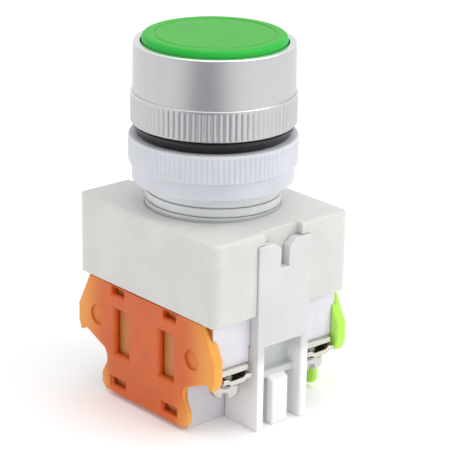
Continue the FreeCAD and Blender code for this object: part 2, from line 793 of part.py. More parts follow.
def make_nc_works(side):
    """Normally closed works: the spring lifts the bridge to the tips, the plunger lowers it."""
    fixed = (below(PLATE_BOTTOM, size("FixedTipHeight")), PLATE_BOTTOM)
    tip_top = below(fixed[0], size("ContactAir"))
    tip = (below(tip_top, size("MovingTipHeight")), tip_top)
    strip = (below(tip[0], size("StripThickness")), tip[0])
    make_tips("nc", side, "fixed_tips", fixed)
    make_tips("nc", side, "bridge_tips", tip)
    make_bridge("nc", side, strip)
    line = turned(side, CONTACT_LINE)
    x = around(line, size("PlungerWidth", 0.5))
    plunger = block("NcPlunger", x, both(size("PlungerDepth", 0.5)), (strip[1], PLUNGER_TOP))
    keep(plunger, "nc_plunger")
    spring = (FLOOR, strip[0])
    wire = size("BlockSpringWire")
    turns = size("BlockSpringTurns")
    coil("nc_return_spring", size("BlockSpringRadius"), wire, turns, spring, line)


def make_no_works(side):
    """Normally open works: the bridge rides in the plunger's window above the fixed tips."""
    fixed = (SHOULDER, above(SHOULDER, size("FixedTipHeight")))
    tip_low = above(fixed[1], size("Travel"), size("ContactAir"))
    tip = (tip_low, above(tip_low, size("MovingTipHeight")))
    strip = (tip[1], above(tip[1], size("StripThickness")))
    make_tips("no", side, "fixed_tips", fixed)
    make_tips("no", side, "bridge_tips", tip)
    make_bridge("no", side, strip)
    line = turned(side, CONTACT_LINE)
    half_depth = size("PlungerDepth", 0.5)
    tail = below(strip[0], size("PlungerTail"))
    post = block("NoPost", around(line, size("PlungerWidth", 0.5)), both(half_depth), (tail, PLUNGER_TOP))
    window_x = around(line, above(size("StripWidth", 0.5), size("SnapGap")))
    window_top = above(strip[1], size("ContactSpringLength"))
    window = block("NoWindow", window_x, both(half_depth), (strip[0], window_top))
    keep(without("NoPlunger", post, [window]), "no_plunger")
    contact_turns = size("ContactSpringTurns")
    contact_wire = size("ContactSpringWire")
    contact_spring = (strip[1], window_top)
    coil("no_contact_spring", size("ContactSpringRadius"), contact_wire, contact_turns, contact_spring, line)
    wire = size("BlockSpringWire")
    turns = size("BlockSpringTurns")
    coil("no_return_spring", size("BlockSpringRadius"), wire, turns, (FLOOR, tail), line)


def make_saddle(tag, line, screw_y):
    """Clamp plate with its two sides bent up towards the terminal plate."""
    half = CLAMP_HALF
    bend_out = below(half, size("ClampWing"))
    bend_in = below(bend_out, size("ClampBend"))
    rise = size("ClampRise")
    upper = [(half, rise), (bend_out, rise), (bend_in, "0")]
    top = upper + [(f"(-{across})", up) for across, up in reversed(upper)]
    points = [(f"({line} + {across})", above(CLAMP_TOP, up)) for across, up in top]
    points += [(f"({line} + {across})", above(CLAMP_BOTTOM, up)) for across, up in reversed(top)]
    front = f"(-({screw_y} + {size('ClampHalfLength')}))"
    return slab(f"{tag}Saddle", "XZ_Plane", points, front, f"(2 * {size('ClampHalfLength')})")


def make_terminal(kind, side, end, place):
    """Terminal plate, saddle clamp and captive screw at one end of a block."""
    line = turned(side, TERMINAL_LINE)
    screw_y = turned(end, SCREW_LINE)
    tag = f"{kind}{place}"
    plate_x = around(line, TERMINAL_HALF)
    plate_inner = below(CAVITY_END, size("TerminalReach"))
    plate_y = span(end, plate_inner, below(BOX_END, size("TerminalInset")))
    plate = block(f"{tag}Plate", plate_x, plate_y, (PLATE_BOTTOM, SHOULDER))
    hole_radius = above(size("ScrewRadius"), size("SnapGap"))
    hole = rod(f"{tag}Hole", hole_radius, (PLATE_BOTTOM, SHOULDER), line, screw_y)
    keep(without(f"{tag}Terminal", plate, [hole]), f"{kind}_{place}_terminal")

    clamp = make_saddle(tag, line, screw_y)
    bore_levels = (CLAMP_BOTTOM, above(CLAMP_TOP, size("ClampRise")))
    bored = rod(f"{tag}Bore", hole_radius, bore_levels, line, screw_y)
    keep(without(f"{tag}Clamp", clamp, [bored]), f"{kind}_{place}_clamp")

    head_low = below(CLAMP_BOTTOM, size("ScrewHeadHeight"))
    shank_top = above(SHOULDER, size("ScrewReach"))
    shank = rod(f"{tag}Shank", size("ScrewRadius"), (CLAMP_BOTTOM, shank_top), line, screw_y)
    head = rod(f"{tag}Head", size("ScrewHeadRadius"), (head_low, CLAMP_BOTTOM), line, screw_y)
    slot_x = around(line, size("ScrewHeadRadius"))
    slot_y = around(screw_y, size("ScrewSlotWidth", 0.5))
    slot = block(f"{tag}Slot", slot_x, slot_y, (head_low, above(head_low, size("ScrewSlotDepth"))))
    screw = without(f"{tag}Screw", joined(f"{tag}ScrewBlank", [shank, head]), [slot])
    keep(screw, f"{kind}_{place}_screw")


# ---- the whole button -------------------------------------------------------------------

make_button_cap()
make_plunger_stem()
make_stem_clip()
make_contact_pusher()
make_barrel()
make_bezel()
make_gasket()
make_lock_nut()
make_housing()
coil(
    "button_return_spring",
    size("HeadSpringRadius"),
    size("HeadSpringWire"),
    size("HeadSpringTurns"),
    (SHELF_TOP, COLLAR_BOTTOM),
)
make_carrier()
for block_kind, block_side in (("nc", -1), ("no", 1)):
    make_contact_body(block_kind, block_side)
    make_side_cover(block_kind, block_side)
    for terminal_end, terminal_place in ((-1, "front"), (1, "back")):
        make_terminal(block_kind, block_side, terminal_end, terminal_place)
make_nc_works(-1)
make_no_works(1)
doc.recompute()

for item in doc.Objects:
    if "Invalid" in item.State or "Error" in item.State:
        raise RuntimeError(f"{item.Label} failed: {item.State}")
for item in NODES:
    if item.Shape.isNull() or not item.Shape.isValid() or not item.Shape.Solids:
        raise RuntimeError(f"{item.Label} has no valid solid")

os.makedirs("parts", exist_ok=True)
for item in NODES:
    item.Shape.exportStep(f"parts/{item.Label}.step")
print(f"{len(NODES)} sub-parts written")
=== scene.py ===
"""Visual model of a momentary panel push button, laid out as an add-on and run as a script.

Sizes are in metres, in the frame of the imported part: +Z up the button axis, +X towards the
normally open block, -Y towards the front terminals. Levels and radii come from the part's nodes.
"""
import math

import bmesh
import bpy
from mathutils import Matrix, Vector


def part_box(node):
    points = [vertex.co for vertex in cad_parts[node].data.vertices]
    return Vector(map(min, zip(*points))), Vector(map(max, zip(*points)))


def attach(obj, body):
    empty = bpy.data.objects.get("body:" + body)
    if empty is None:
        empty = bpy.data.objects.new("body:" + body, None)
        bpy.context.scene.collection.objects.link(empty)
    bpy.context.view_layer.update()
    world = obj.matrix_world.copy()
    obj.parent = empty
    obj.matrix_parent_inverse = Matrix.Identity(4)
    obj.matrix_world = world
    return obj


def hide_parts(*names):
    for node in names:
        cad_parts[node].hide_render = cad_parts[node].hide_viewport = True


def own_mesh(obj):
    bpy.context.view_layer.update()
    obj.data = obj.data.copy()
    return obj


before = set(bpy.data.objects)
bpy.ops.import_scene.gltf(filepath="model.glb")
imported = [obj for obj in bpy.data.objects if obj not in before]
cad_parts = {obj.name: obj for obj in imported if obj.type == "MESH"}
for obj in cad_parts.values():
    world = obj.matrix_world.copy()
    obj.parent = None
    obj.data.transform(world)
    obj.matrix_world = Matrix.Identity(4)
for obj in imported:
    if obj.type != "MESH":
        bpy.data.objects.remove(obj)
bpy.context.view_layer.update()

bl_info = {
    "name": "Panel Push Button",
    "version": (1, 0, 0),
    "blender": (4, 5, 0),
    "location": "3D View > Sidebar > Push Button",
    "description": "Builds the visual pieces of a panel push button around its frame",
    "category": "Object",
}

MM = 0.001

MERGE_GAP = 0.0005 * MM
TOUCH = 0.01 * MM
FLAT_ANGLE = math.radians(0.6)
SHARP_ANGLE = math.radians(28)
CREASE_ANGLE = math.radians(38)
RIB_ANGLE = math.radians(60)
ROOM_SHARE = 0.42
INSIDE_SHARE = 0.6
OUTLINE_SHARE = 0.45
ROUND_STEPS = 6
STEPS_PER_RIB = 8
TURNING_STEPS = 144
THREAD_STEPS = 72
THREAD_INPUTS = ("Radius", "Pitch", "Depth", "Low", "High")
COIL_STEPS = 36
FLAT_TURNS = 0.7
RIM_HEIGHT = 7.93 * MM
SLOT_LENGTH = 10 * MM
KINDS = ("nc", "no")
# Each terminal, with the angle in degrees of its screw's slot.
TERMINALS = {"nc_front": 52.0, "nc_back": 20.0, "no_front": 66.0, "no_back": 110.0}
SPRING_WIRES = {
    "button_return_spring": 0.45 * MM,
    "nc_return_spring": 0.22 * MM,
    "no_return_spring": 0.22 * MM,
    "no_contact_spring": 0.15 * MM,
}


# ---- sizes and colours ------------------------------------------------------------------


def length(name, description, millimetres):
    """A length that a user can change, in metres."""
    return bpy.props.FloatProperty(
        name=name,
        description=description,
        default=millimetres * MM,
        min=0.0,
        precision=5,
        subtype="DISTANCE",
        unit="LENGTH",
    )


def number(name, description, default):
    """A count that a user can change."""
    return bpy.props.IntProperty(name=name, description=description, default=default, min=3)


def colour(name, description, default):
    """A colour that a user can change."""
    return bpy.props.FloatVectorProperty(
        name=name,
        description=description,
        default=default,
        size=3,
        min=0.0,
        max=1.0,
        subtype="COLOR",
    )


class ButtonSizes(bpy.types.PropertyGroup):
    """Sizes of the detail that the frame doesn't hold."""

    thread_pitch: length("Thread pitch", "Rise of the neck's thread in one turn", 1.5)
    thread_depth: length("Thread depth", "Height of the thread's ridge", 0.5)
    skirt_ribs: number("Skirt ribs", "Upright ribs round the bezel's skirt", 88)
    skirt_rib_depth: length("Skirt rib depth", "Depth between the skirt's ribs", 0.10)
    nut_ribs: number("Nut ribs", "Upright ribs round the lock nut", 100)
    nut_rib_depth: length("Nut rib depth", "Depth between the nut's ribs", 0.12)
    cap_rounding: length("Cap rounding", "Rounding of the cap's edge", 0.95)
    cap_groove: length("Cap groove depth", "Depth of the ring in the cap's face", 0.2)
    shell_corner: length("Shell corner", "Rounding of the housing's upright corners", 1.8)
    shell_top: length("Shell top edge", "Rounding of the housing's top edges", 0.95)
    shell_foot: length("Shell lower edge", "Rounding of the housing's lower edges", 0.55)
    small_edge: length("Small edge", "Rounding of small moulded edges", 0.28)
    cover_edge: length("Cover edge", "Rounding of the side covers' edges", 0.5)
    sheet_edge: length("Sheet edge", "Rounding of pressed sheet edges", 0.14)
    screw_slot_width: length("Screw slot width", "Width of the driver slot", 1.0)
    screw_slot_depth: length("Screw slot depth", "Depth of the driver slot", 1.45)
    screw_pitch: length("Screw pitch", "Rise of a terminal screw's thread in one turn", 0.5)
    wire_steps: number("Wire sides", "Sides of a spring's round wire", 12)


class ButtonColours(bpy.types.PropertyGroup):
    """Colours of the pieces."""

    cap: colour("Cap", "Green moulded cap", (0.052, 0.455, 0.036))
    # Painted highlight: the cap's rounded rim is painted this brighter green.
    cap_rim_highlight: colour("Cap rim", "Green of the cap's rounded edge", (0.015, 0.50, 0.045))
    metal: colour("Bezel metal", "Satin aluminium", (0.55, 0.55, 0.56))
    # Painted highlight: faces of the bezel that look upwards are painted towards this colour.
    bright_metal: colour("Bright metal", "Polished edges of the bezel", (0.97, 0.97, 0.97))
    rubber: colour("Rubber", "Sealing gasket", (0.006, 0.0065, 0.0075))
    shell: colour("Shell", "Warm white housing", (0.70, 0.70, 0.67))
    neck: colour("Neck", "White threaded neck", (0.84, 0.85, 0.85))
    carrier: colour("Carrier", "White contact carrier", (0.70, 0.70, 0.695))
    # Painted light: the carrier's legs are painted this lighter white.
    legs: colour("Legs", "Thin legs of the contact carrier", (0.90, 0.90, 0.90))
    channel: colour("Channel", "Shaded channel of the contact carrier", (0.60, 0.63, 0.61))
    nylon: colour("Nylon", "Cool white nut and stem", (0.67, 0.685, 0.73))
    block: colour("Block", "Cool white contact blocks", (0.80, 0.785, 0.83))
    orange: colour("Orange", "Face of the orange cover", (0.67, 0.13, 0.022))
    # Painted light: this lighter orange goes on the cover where it is thinner and on its outer
    # walls.
    orange_edge: colour("Orange edge", "Thin edges of the orange cover", (0.93, 0.44, 0.075))
    # Painted shade: this deeper orange goes on the walls inside the cover's windows.
    orange_recess_shade: colour("Deep orange", "Walls of the orange cover's windows", (0.72, 0.135, 0.012))
    lime: colour("Lime", "Face of the lime cover", (0.42, 0.86, 0.09))
    # Painted light: this lighter lime goes on the cover where it is thinner and on its outer walls.
    lime_edge: colour("Lime edge", "Thin edges of the lime cover", (0.50, 0.88, 0.12))
    # Painted shade: this darker lime goes on the walls inside the cover's windows.
    lime_recess_shade: colour("Deep lime", "Walls of the lime cover's windows", (0.30, 0.72, 0.03))
    orange_shade: colour("Orange shade", "Block seen through the orange cover", (0.62, 0.24, 0.075))
    lime_shade: colour("Lime shade", "Block seen through the lime cover", (0.30, 0.50, 0.10))
    nickel: colour("Nickel", "Plated terminals and clamps", (0.66, 0.64, 0.58))
    zinc: colour("Zinc", "Bright plated screws", (0.62, 0.61, 0.585))
    steel: colour("Spring steel", "Springs and the retaining clip", (0.55, 0.55, 0.56))
    silver: colour("Silver", "Contact tips", (0.88, 0.86, 0.82))
    brass: colour("Brass", "Moving contact strips", (0.82, 0.60, 0.27))
    plunger: colour("Plunger", "Moulded contact plungers", (0.66, 0.63, 0.52))
    floor: colour("Floor", "Pale studio floor", (1.0, 1.0, 1.0))


def sizes():
    """The sizes in use."""
    return bpy.context.scene.push_button_sizes


def colours():
    """The colours in use."""
    return bpy.context.scene.push_button_colours


# ---- places in the frame ----------------------------------------------------------------


def bottom(node):
    """Lowest level of a node."""
    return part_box(node)[0].z


def top(node):
    """Highest level of a node."""
    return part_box(node)[1].z


def radius(node):
    """Outer radius of a turned node."""
    low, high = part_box(node)
    return (high.x - low.x) / 2


def middle(node):
    """Centre of a node's box."""
    low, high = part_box(node)
    return (low + high) / 2


# ---- node trees -------------------------------------------------------------------------


def fill(tree, node, sockets):
    """Fills a node's sockets with values or links."""
    for key, value in sockets.items():
        if isinstance(value, bpy.types.NodeSocket):
            tree.links.new(value, node.inputs[key])
        else:
            node.inputs[key].default_value = value


def place(tree, kind, sockets=None, **settings):
    """Adds a node, sets its properties and fills its sockets."""
    node = tree.nodes.new(kind)
    for name, value in settings.items():
        setattr(node, name, value)
    fill(tree, node, sockets or {})
    return node


def calc(tree, operation, *values):
    """Output of a math node."""
    return place(tree, "ShaderNodeMath", dict(enumerate(values)), operation=operation).outputs[0]


def ramp(tree, value, start, end, low=0.0, high=1.0):
    """A smooth step of a value from one number to another."""
    sockets = {"Value": value, "From Min": start, "From Max": end, "To Min": low, "To Max": high}
    node = place(tree, "ShaderNodeMapRange", sockets, interpolation_type="SMOOTHSTEP", clamp=True)
    return node.outputs["Result"]


def split(tree, vector):
    """The X, Y and Z of a vector."""
    return place(tree, "ShaderNodeSeparateXYZ", {0: vector}).outputs


def upward(tree, height):
    """A vector straight up."""
    return place(tree, "ShaderNodeCombineXYZ", {2: height}).outputs[0]


def from_axis(tree, position):
    """A place's X, Y and Z, the level vector to it from the button axis, and that one's length."""
    parts = split(tree, position)
    flat = place(tree, "ShaderNodeCombineXYZ", {0: parts[0], 1: parts[1]}).outputs[0]
    reach = place(tree, "ShaderNodeVectorMath", {0: flat}, operation="LENGTH").outputs["Value"]
    return parts, flat, reach


def geometry_tree(name, numbers, others=None):
    """A new Geometry Nodes tree with named inputs, and its group input and output nodes."""
    tree = bpy.data.node_groups.new(name, "GeometryNodeTree")
    kinds = {"Geometry": "Geometry", **dict.fromkeys(numbers, "Float"), **(others or {})}
    kinds["Material"] = "Material"
    for label, kind in kinds.items():
        tree.interface.new_socket(label, in_out="INPUT", socket_type="NodeSocket" + kind)
    tree.interface.new_socket("Geometry", in_out="OUTPUT", socket_type="NodeSocketGeometry")
    return tree, tree.nodes.new("NodeGroupInput"), tree.nodes.new("NodeGroupOutput")


def end_tree(tree, group_in, group_out, geometry):
    """Ends a tree in Realize Instances and Set Material."""
    real = place(tree, "GeometryNodeRealizeInstances", {"Geometry": geometry}).outputs[0]
    paint = {"Geometry": real, "Material": group_in.outputs["Material"]}
    painted = place(tree, "GeometryNodeSetMaterial", paint).outputs[0]
    tree.links.new(painted, group_out.inputs[0])


def shifted(tree, geometry, **sockets):
    """Geometry moved or turned as a whole."""
    sockets["Geometry"] = geometry
    return place(tree, "GeometryNodeTransform", sockets).outputs[0]


def joined(tree, *parts):
    """Several geometries as one."""
    both = place(tree, "GeometryNodeJoinGeometry")
    for part in parts:
        tree.links.new(part, both.inputs[0])
    return both.outputs[0]


def spiral(tree, steps, turns, reach, height):
    """A path that winds about the Z axis."""
    sockets = {"Resolution": steps, "Rotations": turns, "Start Radius": reach, "End Radius": reach}
    sockets.update({"Height": height, "Reverse": False})
    return place(tree, "GeometryNodeCurveSpiral", sockets).outputs[0]


def swept(tree, path, section):
    """A section swept along a path, with closed ends."""
    sockets = {"Curve": path, "Profile Curve": section, "Fill Caps": True}
    return place(tree, "GeometryNodeCurveToMesh", sockets).outputs[0]


def rib_tree():
    """Cuts upright grooves into the outside of a turned piece, between two levels."""
    numbers = ("Ribs", "Depth", "Low", "High", "Fade", "Wall")
    tree, group_in, group_out = geometry_tree("upright_ribs", numbers)
    given = group_in.outputs
    position = place(tree, "GeometryNodeInputPosition").outputs[0]
    parts, flat, reach = from_axis(tree, position)
    angle = calc(tree, "ARCTAN2", parts[1], parts[0])
    wave = calc(tree, "COSINE", calc(tree, "MULTIPLY", angle, given["Ribs"]))
    groove = ramp(tree, wave, -0.75, 0.35, 1.0, 0.0)
    low_end = calc(tree, "ADD", given["Low"], given["Fade"])
    high_start = calc(tree, "SUBTRACT", given["High"], given["Fade"])
    above_low = ramp(tree, parts[2], given["Low"], low_end)
    below_high = ramp(tree, parts[2], high_start, given["High"], 1.0, 0.0)
    outside = calc(tree, "GREATER_THAN", reach, given["Wall"])
    depth = calc(tree, "MULTIPLY", given["Depth"], groove)
    for share in (above_low, below_high, outside):
        depth = calc(tree, "MULTIPLY", depth, share)
    inward = calc(tree, "MULTIPLY", depth, -1.0)
    scale = calc(tree, "DIVIDE", inward, calc(tree, "MAXIMUM", reach, MM))
    cut = place(tree, "ShaderNodeVectorMath", {0: flat, "Scale": scale}, operation="SCALE")
    moved = {"Geometry": given["Geometry"], "Offset": cut.outputs[0]}
    carved = place(tree, "GeometryNodeSetPosition", moved).outputs[0]
    end_tree(tree, group_in, group_out, carved)
    return tree


def ridge(tree, given):
    """A helical ridge with flat-topped flanks, wound about the Z axis between two levels."""
    pitch = given["Pitch"]
    rise = calc(tree, "SUBTRACT", given["High"], given["Low"])
    turns = calc(tree, "DIVIDE", rise, pitch)
    height = calc(tree, "MULTIPLY", turns, pitch)
    path = spiral(tree, THREAD_STEPS, turns, given["Radius"], height)
    upright = place(tree, "GeometryNodeSetCurveNormal", {"Curve": path}, mode="Z_UP").outputs[0]
    flanks = {
        "Bottom Width": calc(tree, "MULTIPLY", pitch, 0.9),
        "Top Width": calc(tree, "MULTIPLY", pitch, 0.3),
        "Offset": 0.0,
        "Height": given["Depth"],
    }
    section = place(tree, "GeometryNodeCurvePrimitiveQuadrilateral", flanks, mode="TRAPEZOID")
    outward = shifted(tree, section.outputs[0], Rotation=(0.0, 0.0, -math.pi / 2))
    return shifted(tree, swept(tree, upright, outward), Translation=upward(tree, given["Low"]))


def thread_tree():
    """Adds a screw thread to a turned core."""
    tree, group_in, group_out = geometry_tree("neck_thread", THREAD_INPUTS)
    given = group_in.outputs
    end_tree(tree, group_in, group_out, joined(tree, ridge(tree, given), given["Geometry"]))
    return tree


def screw_tree():
    """Slots a turned screw blank, threads its shank and puts it in its place."""
    numbers = (*THREAD_INPUTS, "Slot Width", "Slot Depth", "Slot Turn")
    tree, group_in, group_out = geometry_tree("slotted_screw", numbers, {"Place": "Vector"})
    given = group_in.outputs
    cut_height = calc(tree, "MULTIPLY", given["Slot Depth"], 2.0)
    cut = {0: SLOT_LENGTH, 1: given["Slot Width"], 2: cut_height}
    cut_size = place(tree, "ShaderNodeCombineXYZ", cut).outputs[0]
    cutter = place(tree, "GeometryNodeMeshCube", {"Size": cut_size}).outputs[0]
    aimed = shifted(tree, cutter, Rotation=upward(tree, given["Slot Turn"]))
    slotted = place(
        tree,
        "GeometryNodeMeshBoolean",
        {"Mesh 1": given["Geometry"], "Mesh 2": aimed},
        operation="DIFFERENCE",
        solver="EXACT",
    )
    screw = joined(tree, ridge(tree, given), slotted.outputs[0])
    end_tree(tree, group_in, group_out, shifted(tree, screw, Translation=given["Place"]))
    return tree


def spring_tree():
    """Winds a compression spring whose end turns lie flat."""
    numbers = ("Radius", "Wire", "Turns", "Low", "High")
    others = {"Wire Sides": "Int", "Place": "Vector"}
    tree, group_in, group_out = geometry_tree("compression_spring", numbers, others)
    given = group_in.outputs
    path = spiral(tree, COIL_STEPS, given["Turns"], given["Radius"], 0.0)
    flat_share = calc(tree, "DIVIDE", FLAT_TURNS, given["Turns"])
    rest = {
        "Value": place(tree, "GeometryNodeSplineParameter").outputs["Factor"],
        "From Min": flat_share,
        "From Max": calc(tree, "SUBTRACT", 1.0, flat_share),
        "To Min": calc(tree, "ADD", given["Low"], given["Wire"]),
        "To Max": calc(tree, "SUBTRACT", given["High"], given["Wire"]),
    }
    height = place(tree, "ShaderNodeMapRange", rest, clamp=True).outputs["Result"]
    lift = {"Geometry": path, "Offset": upward(tree, height)}
    raised = place(tree, "GeometryNodeSetPosition", lift).outputs[0]
    section = {"Resolution": given["Wire Sides"], "Radius": given["Wire"]}
    wire = place(tree, "GeometryNodeCurvePrimitiveCircle", section).outputs[0]
    coil = shifted(tree, swept(tree, raised, wire), Translation=given["Place"])
    end_tree(tree, group_in, group_out, coil)
    return tree


def grown(piece, tree, **values):
    """Runs a tree on a piece with its inputs set, and keeps the result as a plain mesh."""
    modifier = piece.modifiers.new(tree.name, "NODES")
    modifier.node_group = tree
    for item in tree.interface.items_tree:
        name = item.name.replace(" ", "_").lower()
        if name in values:
            modifier[item.identifier] = values[name]
    baked(piece)


def baked(piece):
    """Applies a piece's modifiers."""
    bpy.context.view_layer.update()
    graph = bpy.context.evaluated_depsgraph_get()
    mesh = bpy.data.meshes.new_from_object(piece.evaluated_get(graph), depsgraph=graph)
    piece.modifiers.clear()
    old = piece.data
    piece.data = mesh
    bpy.data.meshes.remove(old)


# ---- meshes -----------------------------------------------------------------------------


def show(name, shape):
    """A new object in the scene from a finished bmesh."""
    mesh = bpy.data.meshes.new(name)
    shape.to_mesh(mesh)
    shape.free()
    piece = bpy.data.objects.new(name, mesh)
    bpy.context.scene.collection.objects.link(piece)
    return piece


def smooth(piece, angle=CREASE_ANGLE):
    """Smooth shading with creases, and flat faces kept flat beside their rounded edges."""
    piece.data.shade_smooth()
    piece.data.set_sharp_from_angle(angle=angle)
    balance = piece.modifiers.new("balance", "WEIGHTED_NORMAL")
    balance.keep_sharp = True
    balance.weight = 60
    baked(piece)


def rounded(corners, steps=ROUND_STEPS):
    """An outline of (across, up) points from (across, up, rounding) corners."""
    points = []
    count = len(corners)
    for index, (across, up, rounding) in enumerate(corners):
        here = Vector((across, up))
        if rounding == 0:
            points.append(here)
            continue
        before = Vector(corners[index - 1][:2]) - here
        after = Vector(corners[(index + 1) % count][:2]) - here
        start = here + before.normalized() * min(rounding, before.length / 2)
        end = here + after.normalized() * min(rounding, after.length / 2)
        for step in range(steps + 1):
            share = step / steps
            points.append(
                start * (1 - share) ** 2 + here * 2 * share * (1 - share) + end * share**2
            )
    return points


def turned(name, outline, steps):
    """Turns a closed outline of (radius, height) points about the button axis."""
    shape = bmesh.new()
    rings = []
    for step in range(steps):
        angle = 2 * math.pi * step / steps
        across = (math.cos(angle), math.sin(angle))
        rings.append([shape.verts.new((p.x * across[0], p.x * across[1], p.y)) for p in outline])
    for index, ring in enumerate(rings):
        follower = rings[(index + 1) % steps]
        for low in range(len(outline)):
            high = (low + 1) % len(outline)
            shape.faces.new((ring[low], ring[high], follower[high], follower[low]))
    bmesh.ops.remove_doubles(shape, verts=shape.verts, dist=MERGE_GAP)
    bmesh.ops.recalc_face_normals(shape, faces=shape.faces)
    return show(name, shape)


def ribbed(name, corners, ribs, material, **levels):
    """A turned piece with upright ribs between two levels."""
    piece = turned(name, rounded(corners), ribs * STEPS_PER_RIB)
    grown(piece, rib_tree(), ribs=float(ribs), material=material, **levels)
    smooth(piece, RIB_ANGLE)
    return piece


def nearest(first, second):
    """Rough distance between two edges: from each end and middle of one to the other."""
    gaps = []
    for one, other in ((first, second), (second, first)):
        start = other.verts[0].co
        along = other.verts[1].co - start
        for point in (one.verts[0].co, one.verts[1].co, (one.verts[0].co + one.verts[1].co) / 2):
            share = max(0.0, min(1.0, (point - start).dot(along) / along.length_squared))
            gaps.append((point - start - along * share).length)
    return min(gaps)


def room_beside(edge, creases):
    """How far an edge can be rounded before it meets another crease of its faces."""
    room = math.inf
    way = (edge.verts[1].co - edge.verts[0].co).normalized()
    for face in edge.link_faces:
        for other in face.edges:
            if other == edge or other not in creases:
                continue
            if set(other.verts) & set(edge.verts):
                other_way = (other.verts[1].co - other.verts[0].co).normalized()
                if abs(way.dot(other_way)) < 0.9:
                    room = min(room, other.calc_length())
            else:
                room = min(room, nearest(edge, other))
    return room * ROOM_SHARE


def soft_copy(node, wanted, steps):
    """A copy of a node with rounded edges; wanted(edge) gives the rounding of an edge."""
    shape = bmesh.new()
    shape.from_mesh(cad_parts[node].data)
    bmesh.ops.remove_doubles(shape, verts=shape.verts, dist=MERGE_GAP)
    bmesh.ops.dissolve_limit(
        shape, angle_limit=FLAT_ANGLE, verts=shape.verts, edges=shape.edges, delimit={"NORMAL"}
    )
    layer = shape.edges.layers.float.new("bevel_weight_edge")
    inner = [edge for edge in shape.edges if edge.is_manifold]
    creases = {edge for edge in inner if edge.calc_face_angle(0) > SHARP_ANGLE}
    roundings = {edge: min(wanted(edge), room_beside(edge, creases)) for edge in creases}
    widest = max(roundings.values())
    for edge, rounding in roundings.items():
        edge[layer] = rounding / widest
    piece = show(node + "_shape", shape)
    bevel = piece.modifiers.new("rounding", "BEVEL")
    bevel.limit_method = "WEIGHT"
    bevel.width = widest
    bevel.segments = steps
    bevel.use_clamp_overlap = False
    bevel.miter_outer = "MITER_SHARP"
    bevel.loop_slide = True
    baked(piece)
    smooth(piece)
    return piece


def even(rounding):
    """The same rounding on every edge, and less where the edge is an inside corner."""
    return lambda edge: rounding if edge.is_convex else rounding * INSIDE_SHARE


def flatter(rounding):
    """Full rounding round a flat piece's faces, and half of it on the corners of its outline."""

    def wanted(edge):
        """Rounding of one edge."""
        first, second = edge.verts[0].co, edge.verts[1].co
        through = abs(first.x - second.x) > 0.8 * (first - second).length
        if through:
            return rounding * OUTLINE_SHARE
        return rounding if edge.is_convex else rounding * INSIDE_SHARE

    return wanted


def reaches(edge, level):
    """Whether an edge gets higher than a level."""
    return max(v.co.z for v in edge.verts) > level + TOUCH


def below(level, wanted):
    """The same roundings, but only on edges that lie below a level."""
    return lambda edge: wanted(edge) if min(v.co.z for v in edge.verts) < level else 0.0


def finish(piece, body, slot, material, *nodes):
    """Gives a piece its finish, the body it moves with and the nodes that it stands for."""
    piece.data.materials.clear()
    piece.data.materials.append(material)
    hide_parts(*nodes)
    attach(piece, body)


def softened(node, name, body, slot, material, wanted, steps=3):
    """A finished piece in a node's shape, with rounded edges."""
    piece = soft_copy(node, wanted, steps)
    piece.name = name
    finish(piece, body, slot, material, node)


# ---- materials --------------------------------------------------------------------------


def shader(name):
    """A new material, its tree and its surface node."""
    material = bpy.data.materials.new(name)
    material.use_nodes = True
    tree = material.node_tree
    return material, tree, tree.nodes["Principled BSDF"]


def noise(tree, coordinates, scale, detail=3.0):
    """Noise between nought and one on given coordinates."""
    sockets = {"Vector": coordinates, "Scale": scale, "Detail": detail, "Roughness": 0.55}
    return place(tree, "ShaderNodeTexNoise", sockets).outputs["Fac"]


def object_place(tree):
    """Coordinates that stay with the piece."""
    return place(tree, "ShaderNodeTexCoord").outputs["Object"]


def stretched(tree, coordinates, scale):
    """Coordinates scaled by a different amount along each axis."""
    return place(tree, "ShaderNodeMapping", {"Vector": coordinates, "Scale": scale}).outputs[0]


def mixed(tree, share, first, second):
    """A colour between two colours."""
    node = place(tree, "ShaderNodeMix", {0: share}, data_type="RGBA")
    for index, value in ((6, first), (7, second)):
        if isinstance(value, bpy.types.NodeSocket):
            tree.links.new(value, node.inputs[index])
        else:
            node.inputs[index].default_value = (*value[:3], 1.0)
    return node.outputs[2]


def shaded(base, share):
    """A colour made darker or lighter by a share."""
    return tuple(min(1.0, channel * share) for channel in base[:3])


def bumped(tree, surface, height, distance):
    """Adds a fine relief to a surface."""
    sockets = {"Height": height, "Distance": distance, "Strength": 1.0}
    bump = place(tree, "ShaderNodeBump", sockets)
    tree.links.new(bump.outputs[0], surface.inputs["Normal"])


def mottled(tree, where, scale, base, dark, light):
    """A colour in soft patches, a little darker and a little lighter."""
    patches = ramp(tree, noise(tree, where, scale), 0.3, 0.7)
    return mixed(tree, patches, shaded(base, dark), shaded(base, light))


def sheen(tree, where, low, high):
    """Roughness that wanders between two values."""
    return ramp(tree, noise(tree, where, 900.0), 0.2, 0.8, low, high)


def soaking(weight, spread, depth):
    """The surface settings of a plastic that light soaks into."""
    return {"Subsurface Weight": weight, "Subsurface Radius": spread, "Subsurface Scale": depth}


def moulded(name, base, roughness=0.42, depth=0.0, grain=0.006):
    """Injection moulded plastic: fine grain, slight mottling, and light that soaks in a little."""
    material, tree, surface = shader(name)
    where = object_place(tree)
    fine = calc(tree, "MULTIPLY", noise(tree, where, 5200.0, 2.0), 0.5)
    bumped(tree, surface, calc(tree, "ADD", fine, noise(tree, where, 420.0, 1.0)), grain * MM)
    looks = {
        "Base Color": mottled(tree, where, 160.0, base, 0.97, 1.03),
        "Roughness": sheen(tree, where, roughness - 0.05, roughness + 0.05),
        "Specular IOR Level": 0.42,
    }
    if depth:
        looks.update(soaking(0.5, (1.0, 0.9, 0.8), depth))
    fill(tree, surface, looks)
    return material


